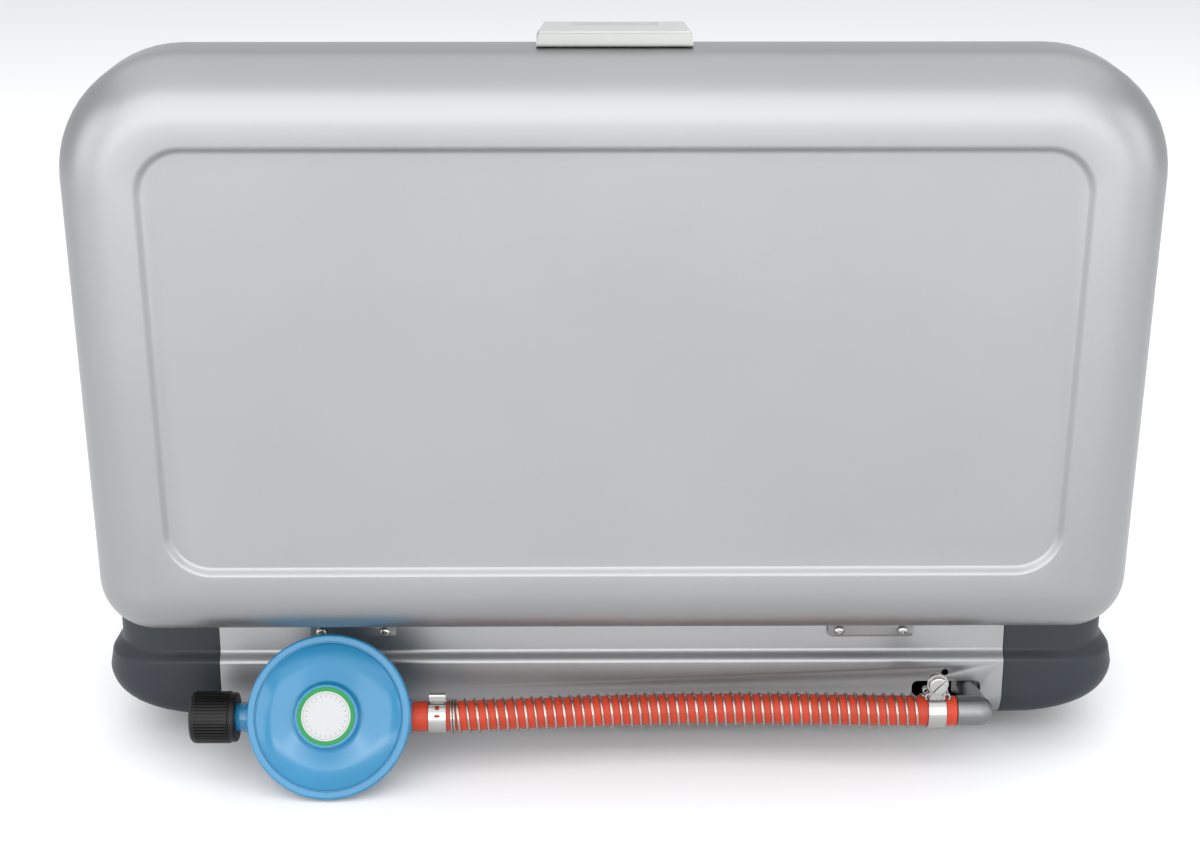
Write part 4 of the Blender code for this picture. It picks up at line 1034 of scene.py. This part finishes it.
def controlKnob(name, x, body, node):
    radius, depth, face, half = knob["radius"], knob["depth"], knob["face"], knob["gripHalf"]
    profile = [(0, depth), (face, depth)] + bow((face, depth - 0.0014), 0.0014, 90, 12, 5)[1:]
    profile += [(0.0141, 0.0085), (0.0148, 0.0062)]
    profile += bow((0.0160, 0.0050), 0.0008, 150, 90, 3) + bow((radius - 0.0008, 0.0034), 0.0008, 80, 0, 4)
    profile += [(radius, 0.0006), (0, 0.0006)]
    piece = turned(name, profile, 96)
    grip = blockOf("grip", (-half, -0.0145, 0.004), (half, 0.0145, depth + 0.0019))
    carve(piece, soften(grip, 0.0012, 4, 40), "UNION")
    soften(piece, 0.0003, 2, 60)
    for index in range(knob["flutes"]):  # round the side, clear of the grip
        angle = 2 * math.pi * index / knob["flutes"]
        if abs(math.sin(angle)) < 0.93:
            place = (0.0153 * math.cos(angle), 0.0153 * math.sin(angle), 0.0125)
            carve(piece, drumOf("flute", 0.0009, 0.006, 12, "Z", place))
    carve(piece, drumOf("bore", 0.0031, 0.022, 32))
    placing = onFront(x, front["face"])
    fit(smooth(settle(piece, placing), 35), body, "black_plastic", blackPlastic, node)
    line = blockOf(name + "Line", (-0.0005, 0.0030, depth + 0.0018), (0.0005, 0.0136, depth + 0.00196))
    return fit(settle(line, placing), body, "white_label", paleMark)


def pushButton():
    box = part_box("igniter_button")
    radius, length = (box[1].x - box[0].x) / 2, box[1].y - box[0].y
    profile = [(0, length - 0.0006), (0.0030, length - 0.0005), (0.0052, length - 0.0001)]
    profile += bow((radius - 0.0010, length - 0.0010), 0.0010, 90, 0, 5)
    profile += [(radius, 0.0002), (radius - 0.0002, 0), (0, 0)]
    button = smooth(turned("pushButton", profile, 64, onFront(0, box[1].y)), 35)
    fit(button, "button", "red_plastic", redPlastic, "igniter_button")
    inner, low = 0.0080, -0.0002
    profile = [(inner, low), (0.0103, low), (0.0103, 0.0012)] + bow((0.0096, 0.0012), 0.0007, 0, 90, 3)
    profile += [(0.0086, 0.0019), (inner, 0.0013), (inner, low)]
    collar = smooth(turned("buttonCollar", profile, 64, onFront(0, front["face"] - 0.0001)), 35)
    return fit(collar, "base", "black_plastic", blackPlastic)


fasciaSteel = metalFinish("fasciaSteel", (0.40, 0.405, 0.41), 0.3, 1500, (0.03, 1, 1), 0.00002)
paleMark = plasticFinish("paleMark", (0.80, 0.80, 0.78), 0.4, 2400, 0.00001, 0.1)
fasciaPanel()
for side, x in (("Left", front["x"]), ("Right", -front["x"])):
    dialMarks("dialMarks" + side, x)
    controlKnob("controlKnob" + side, x, "control_" + side.lower(), "knob_" + side.lower())
pushButton()
print("front made")

# Hob: tray, burners, pan supports and electrodes

hob = {"half": stove["trayHalf"] - stove["fit"], "front": stove["trayFront"] + stove["fit"],
       "back": stove["wall"] - stove["lip"] - stove["fit"], "rim": 0.076, "floor": 0.061,
       "corner": 0.0157, "well": 0.072, "wellFloor": 0.053, "y": -0.016144, "neck": 0.014, "spark": 0.036,
       "wire": 0.0024, "grid": 0.074, "gridX": 0.1103, "gridY": 0.10985, "bars": 6}
burner = {"radius": 0.026, "capRadius": 0.028, "slots": 12, "neck": 0.0130, "throat": 0.0090, "foot": 0.032,
          "pipe": 0.0080, "bore": 0.0062, "pipeY": (-0.1244, -0.0284), "pipeLevel": 0.040}


def dripTray():
    bend, sheet, corner = 0.0035, 0.001, hob["corner"]
    levels = [(hob["half"], hob["front"], hob["back"], hob["rim"], (corner, corner))]
    for step in range(7):
        angle = math.pi / 2 * step / 6
        inset = bend * (1 - math.cos(angle))
        height = hob["floor"] - sheet + bend * (1 - math.sin(angle))
        levels.append((hob["half"] - inset, hob["front"] + inset, hob["back"] - inset, height,
                       (corner - inset, corner - inset)))
    tray = facing(lofted("dripTray", levels, 10, True), (0, 0, -1))
    modify(tray, "SOLIDIFY", thickness=sheet, offset=-1, use_even_offset=True)
    low, high = hob["wellFloor"] - sheet, hob["floor"] - 0.0004
    for x in (-front["x"], front["x"]):
        bowl = drumOf("bowl", hob["well"] + sheet, high - low, 96, "Z", (x, hob["y"], (low + high) / 2))
        carve(tray, bowl, "UNION")
        carve(tray, drumOf("hollow", hob["well"], 0.02, 96, "Z", (x, hob["y"], hob["wellFloor"] + 0.01)))
        carve(tray, drumOf("neck", hob["neck"], 0.04, 48, "Z", (x, hob["y"], hob["wellFloor"])))
        near = x - math.copysign(hob["spark"], x)
        carve(tray, drumOf("sparkHole", 0.0028, 0.04, 24, "Z", (near, hob["y"], hob["wellFloor"])))
    soften(tray, 0.0005, 3, 55)
    return fit(smooth(tray, 40), "base", "satin_steel", trayEnamel, "drip_tray")


def burnerHead(side, x):
    low, radius, placing = hob["wellFloor"] + 0.0003, burner["radius"], moved(x, hob["y"], 0)
    neck, throat, foot, high = burner["neck"], burner["throat"], burner["foot"], low + 0.0070
    profile = [(throat, high), (0.0200, high), (0.0202, low + 0.0032), (0.0226, low + 0.0032),
               (0.0226, high), (radius - 0.0005, high), (radius, high - 0.0005), (radius, low + 0.0007),
               (radius - 0.0007, low), (neck, low), (neck, foot), (throat, foot), (throat, high)]
    body = turned("burnerBody" + side.title(), profile, 96, placing)
    start, end = burner["pipeY"]
    middle, length = (start + end) / 2, end - start
    carve(body, drumOf("pipe", burner["pipe"], length, 48, "Y", (x, middle, burner["pipeLevel"])), "UNION")
    bore = drumOf("bore", burner["bore"], length, 40, "Y", (x, middle - 0.0010, burner["pipeLevel"]))
    soften(carve(body, bore), 0.0003, 2, 60)
    fit(smooth(body, 40), "base", "cast_burner", castBurner, "burner_body_" + side)

    low, radius = high + 0.0003, burner["capRadius"]
    profile = [(0, low + 0.0058), (0.0060, low + 0.0058), (0.0105, low + 0.0055), (0.0112, low + 0.0050),
               (0.0180, low + 0.0047), (0.0240, low + 0.0036), (radius - 0.0008, low + 0.0028)]
    profile += bow((radius - 0.0008, low + 0.0020), 0.0008, 80, 0, 4)
    profile += [(radius, low + 0.0003), (radius - 0.0003, low), (0, low)]
    cap = turned("burnerCap" + side.title(), profile, 96)
    for index in range(burner["slots"]):
        cutter = blockOf("slot", (radius - 0.005, -0.001, low - 0.0015),
                         (radius + 0.005, 0.001, low + 0.0015))
        carve(cap, settle(cutter, spun(360 * index / burner["slots"], "Z")))
    soften(cap, 0.0002, 2, 60)
    return fit(smooth(settle(cap, placing), 35), "base", "cast_burner", castBurner, "burner_cap_" + side)


def panSupport(side, x):
    wire, level, halfX, halfY = hob["wire"], hob["grid"], hob["gridX"], hob["gridY"]
    corner, dots = 0.012, []
    for spotX, spotY, first in ((1, 1, 0), (-1, 1, 90), (-1, -1, 180), (1, -1, 270)):
        middle = (spotX * (halfX - corner), spotY * (halfY - corner))
        dots += [(x + a, hob["y"] + b, level) for a, b in bow(middle, corner, first, first + 90, 10)]
    parts = [wireOf("frame", dots, wire, 4, True)]
    tip, end = wire * 0.7, halfY + 0.001
    for index in range(hob["bars"]):
        across = x - halfX + 2 * halfX * (index + 0.5) / hob["bars"]
        profile = [(0, end), (wire - tip, end)] + bow((wire - tip, end - tip), tip, 90, 0, 5)
        profile += bow((wire - tip, tip - end), tip, 0, -90, 5) + [(0, -end)]
        placing = moved(across, hob["y"], level + wire * 1.6) @ spun(90, "X")
        parts.append(turned("bar", profile, 24, placing))
    low, ease = hob["floor"] + 0.0003, 0.0008
    for spotX, spotY in ((-1, -1), (-1, 1), (1, -1), (1, 1)):
        profile = [(0, level), (wire, level)] + bow((wire - ease, low + ease), ease, 0, -90, 4) + [(0, low)]
        placing = moved(x + spotX * halfX, hob["y"] + spotY * halfY / 2, 0)
        parts.append(turned("leg", profile, 24, placing))
    grid = together(*parts)
    grid.name = "panSupport" + side.title()
    return fit(smooth(grid, 40), "grid_" + side, "bright_steel", brightSteel, "pan_support_" + side)


def electrode(side, x):
    low, high, radius = 0.0440, 0.0630, 0.0022
    profile = [(0, high), (0.0009, high)] + bow((radius - 0.0005, high - 0.0008), 0.0005, 90, 0, 4)
    profile += [(radius, high - 0.0040), (radius, low + 0.0002), (radius - 0.0002, low), (0, low)]
    placing = moved(x, hob["y"], 0)
    post = smooth(turned("sparkPost" + side.title(), profile, 32, placing), 35)
    fit(post, "base", "ceramic", ceramicFinish, "spark_electrode_" + side)
    top, wire = high + 0.0040, 0.0008
    profile = [(0, top), (0.0005, top - 0.0001), (wire, top - 0.0005), (wire, high - 0.0020),
               (0, high - 0.0020)]
    tip = smooth(turned("sparkTip" + side.title(), profile, 24, placing))
    return fit(tip, "base", "bright_steel", brightSteel)


dripTray()
for side, x in (("left", front["x"]), ("right", -front["x"])):
    burnerHead(side, x)
    panSupport(side, x)
    electrode(side, x - math.copysign(hob["spark"], x))
print("hob made")

# Inner pieces that keep their plain shapes

inner = {"gas_manifold": brightSteel, "inlet_nut": castZinc, "latch_pin": brightSteel,
         "igniter_body": blackPlastic, "regulator_spring": brightSteel}
for side in ("left", "right"):
    inner["gas_valve_" + side] = castZinc
    inner["burner_jet_" + side] = brassFinish
    inner["valve_stem_" + side] = brightSteel
    inner["ignition_lead_" + side] = blackRubber
for name, material in inner.items():
    mesh = nodes[name].data
    mesh.materials.clear()
    mesh.materials.append(material)
print("inner pieces finished")

# Floor, lights and world

def studioLamp(name, place, aim, size, energy):
    turn = (Vector(aim) - Vector(place)).to_track_quat("-Z", "Y").to_euler()
    bpy.ops.object.light_add(type="AREA", location=place, rotation=turn)
    lamp = bpy.context.object
    lamp.name = name
    lamp.data.shape = "RECTANGLE"
    lamp.data.size, lamp.data.size_y = size
    lamp.data.energy = energy


letGo()
bpy.ops.mesh.primitive_plane_add(size=24, location=(0, 0, -0.0002))
floor = bpy.context.object
floor.name = "floor"
floor.data.materials.append(floorFinish())
studioLamp("softFront", (0.2, 2.7, 1.35), (0, 0.15, 0.2), (4.4, 2.1), 56)
studioLamp("lowFront", (0, 1.7, 0.22), (0, 0.15, 0.06), (3.0, 0.32), 7)
studioLamp("overhead", (0, 0.3, 3.0), (0, 0.3, 0), (6.0, 5.2), 72)
studioLamp("leftFill", (2.6, 1.2, 0.8), (0, 0.1, 0.15), (1.6, 1.6), 13)
studioLamp("rightFill", (-2.6, 1.2, 0.8), (0, 0.1, 0.15), (1.6, 1.6), 13)

world = bpy.data.worlds.new("studio")
bpy.context.scene.world = world
world.use_nodes = True
sky = world.node_tree.nodes["Background"].inputs
sky["Color"].default_value = (0.94, 0.96, 1.0, 1)
sky["Strength"].default_value = 0.88
bpy.context.scene.view_settings.view_transform = "Standard"
print("lights made")
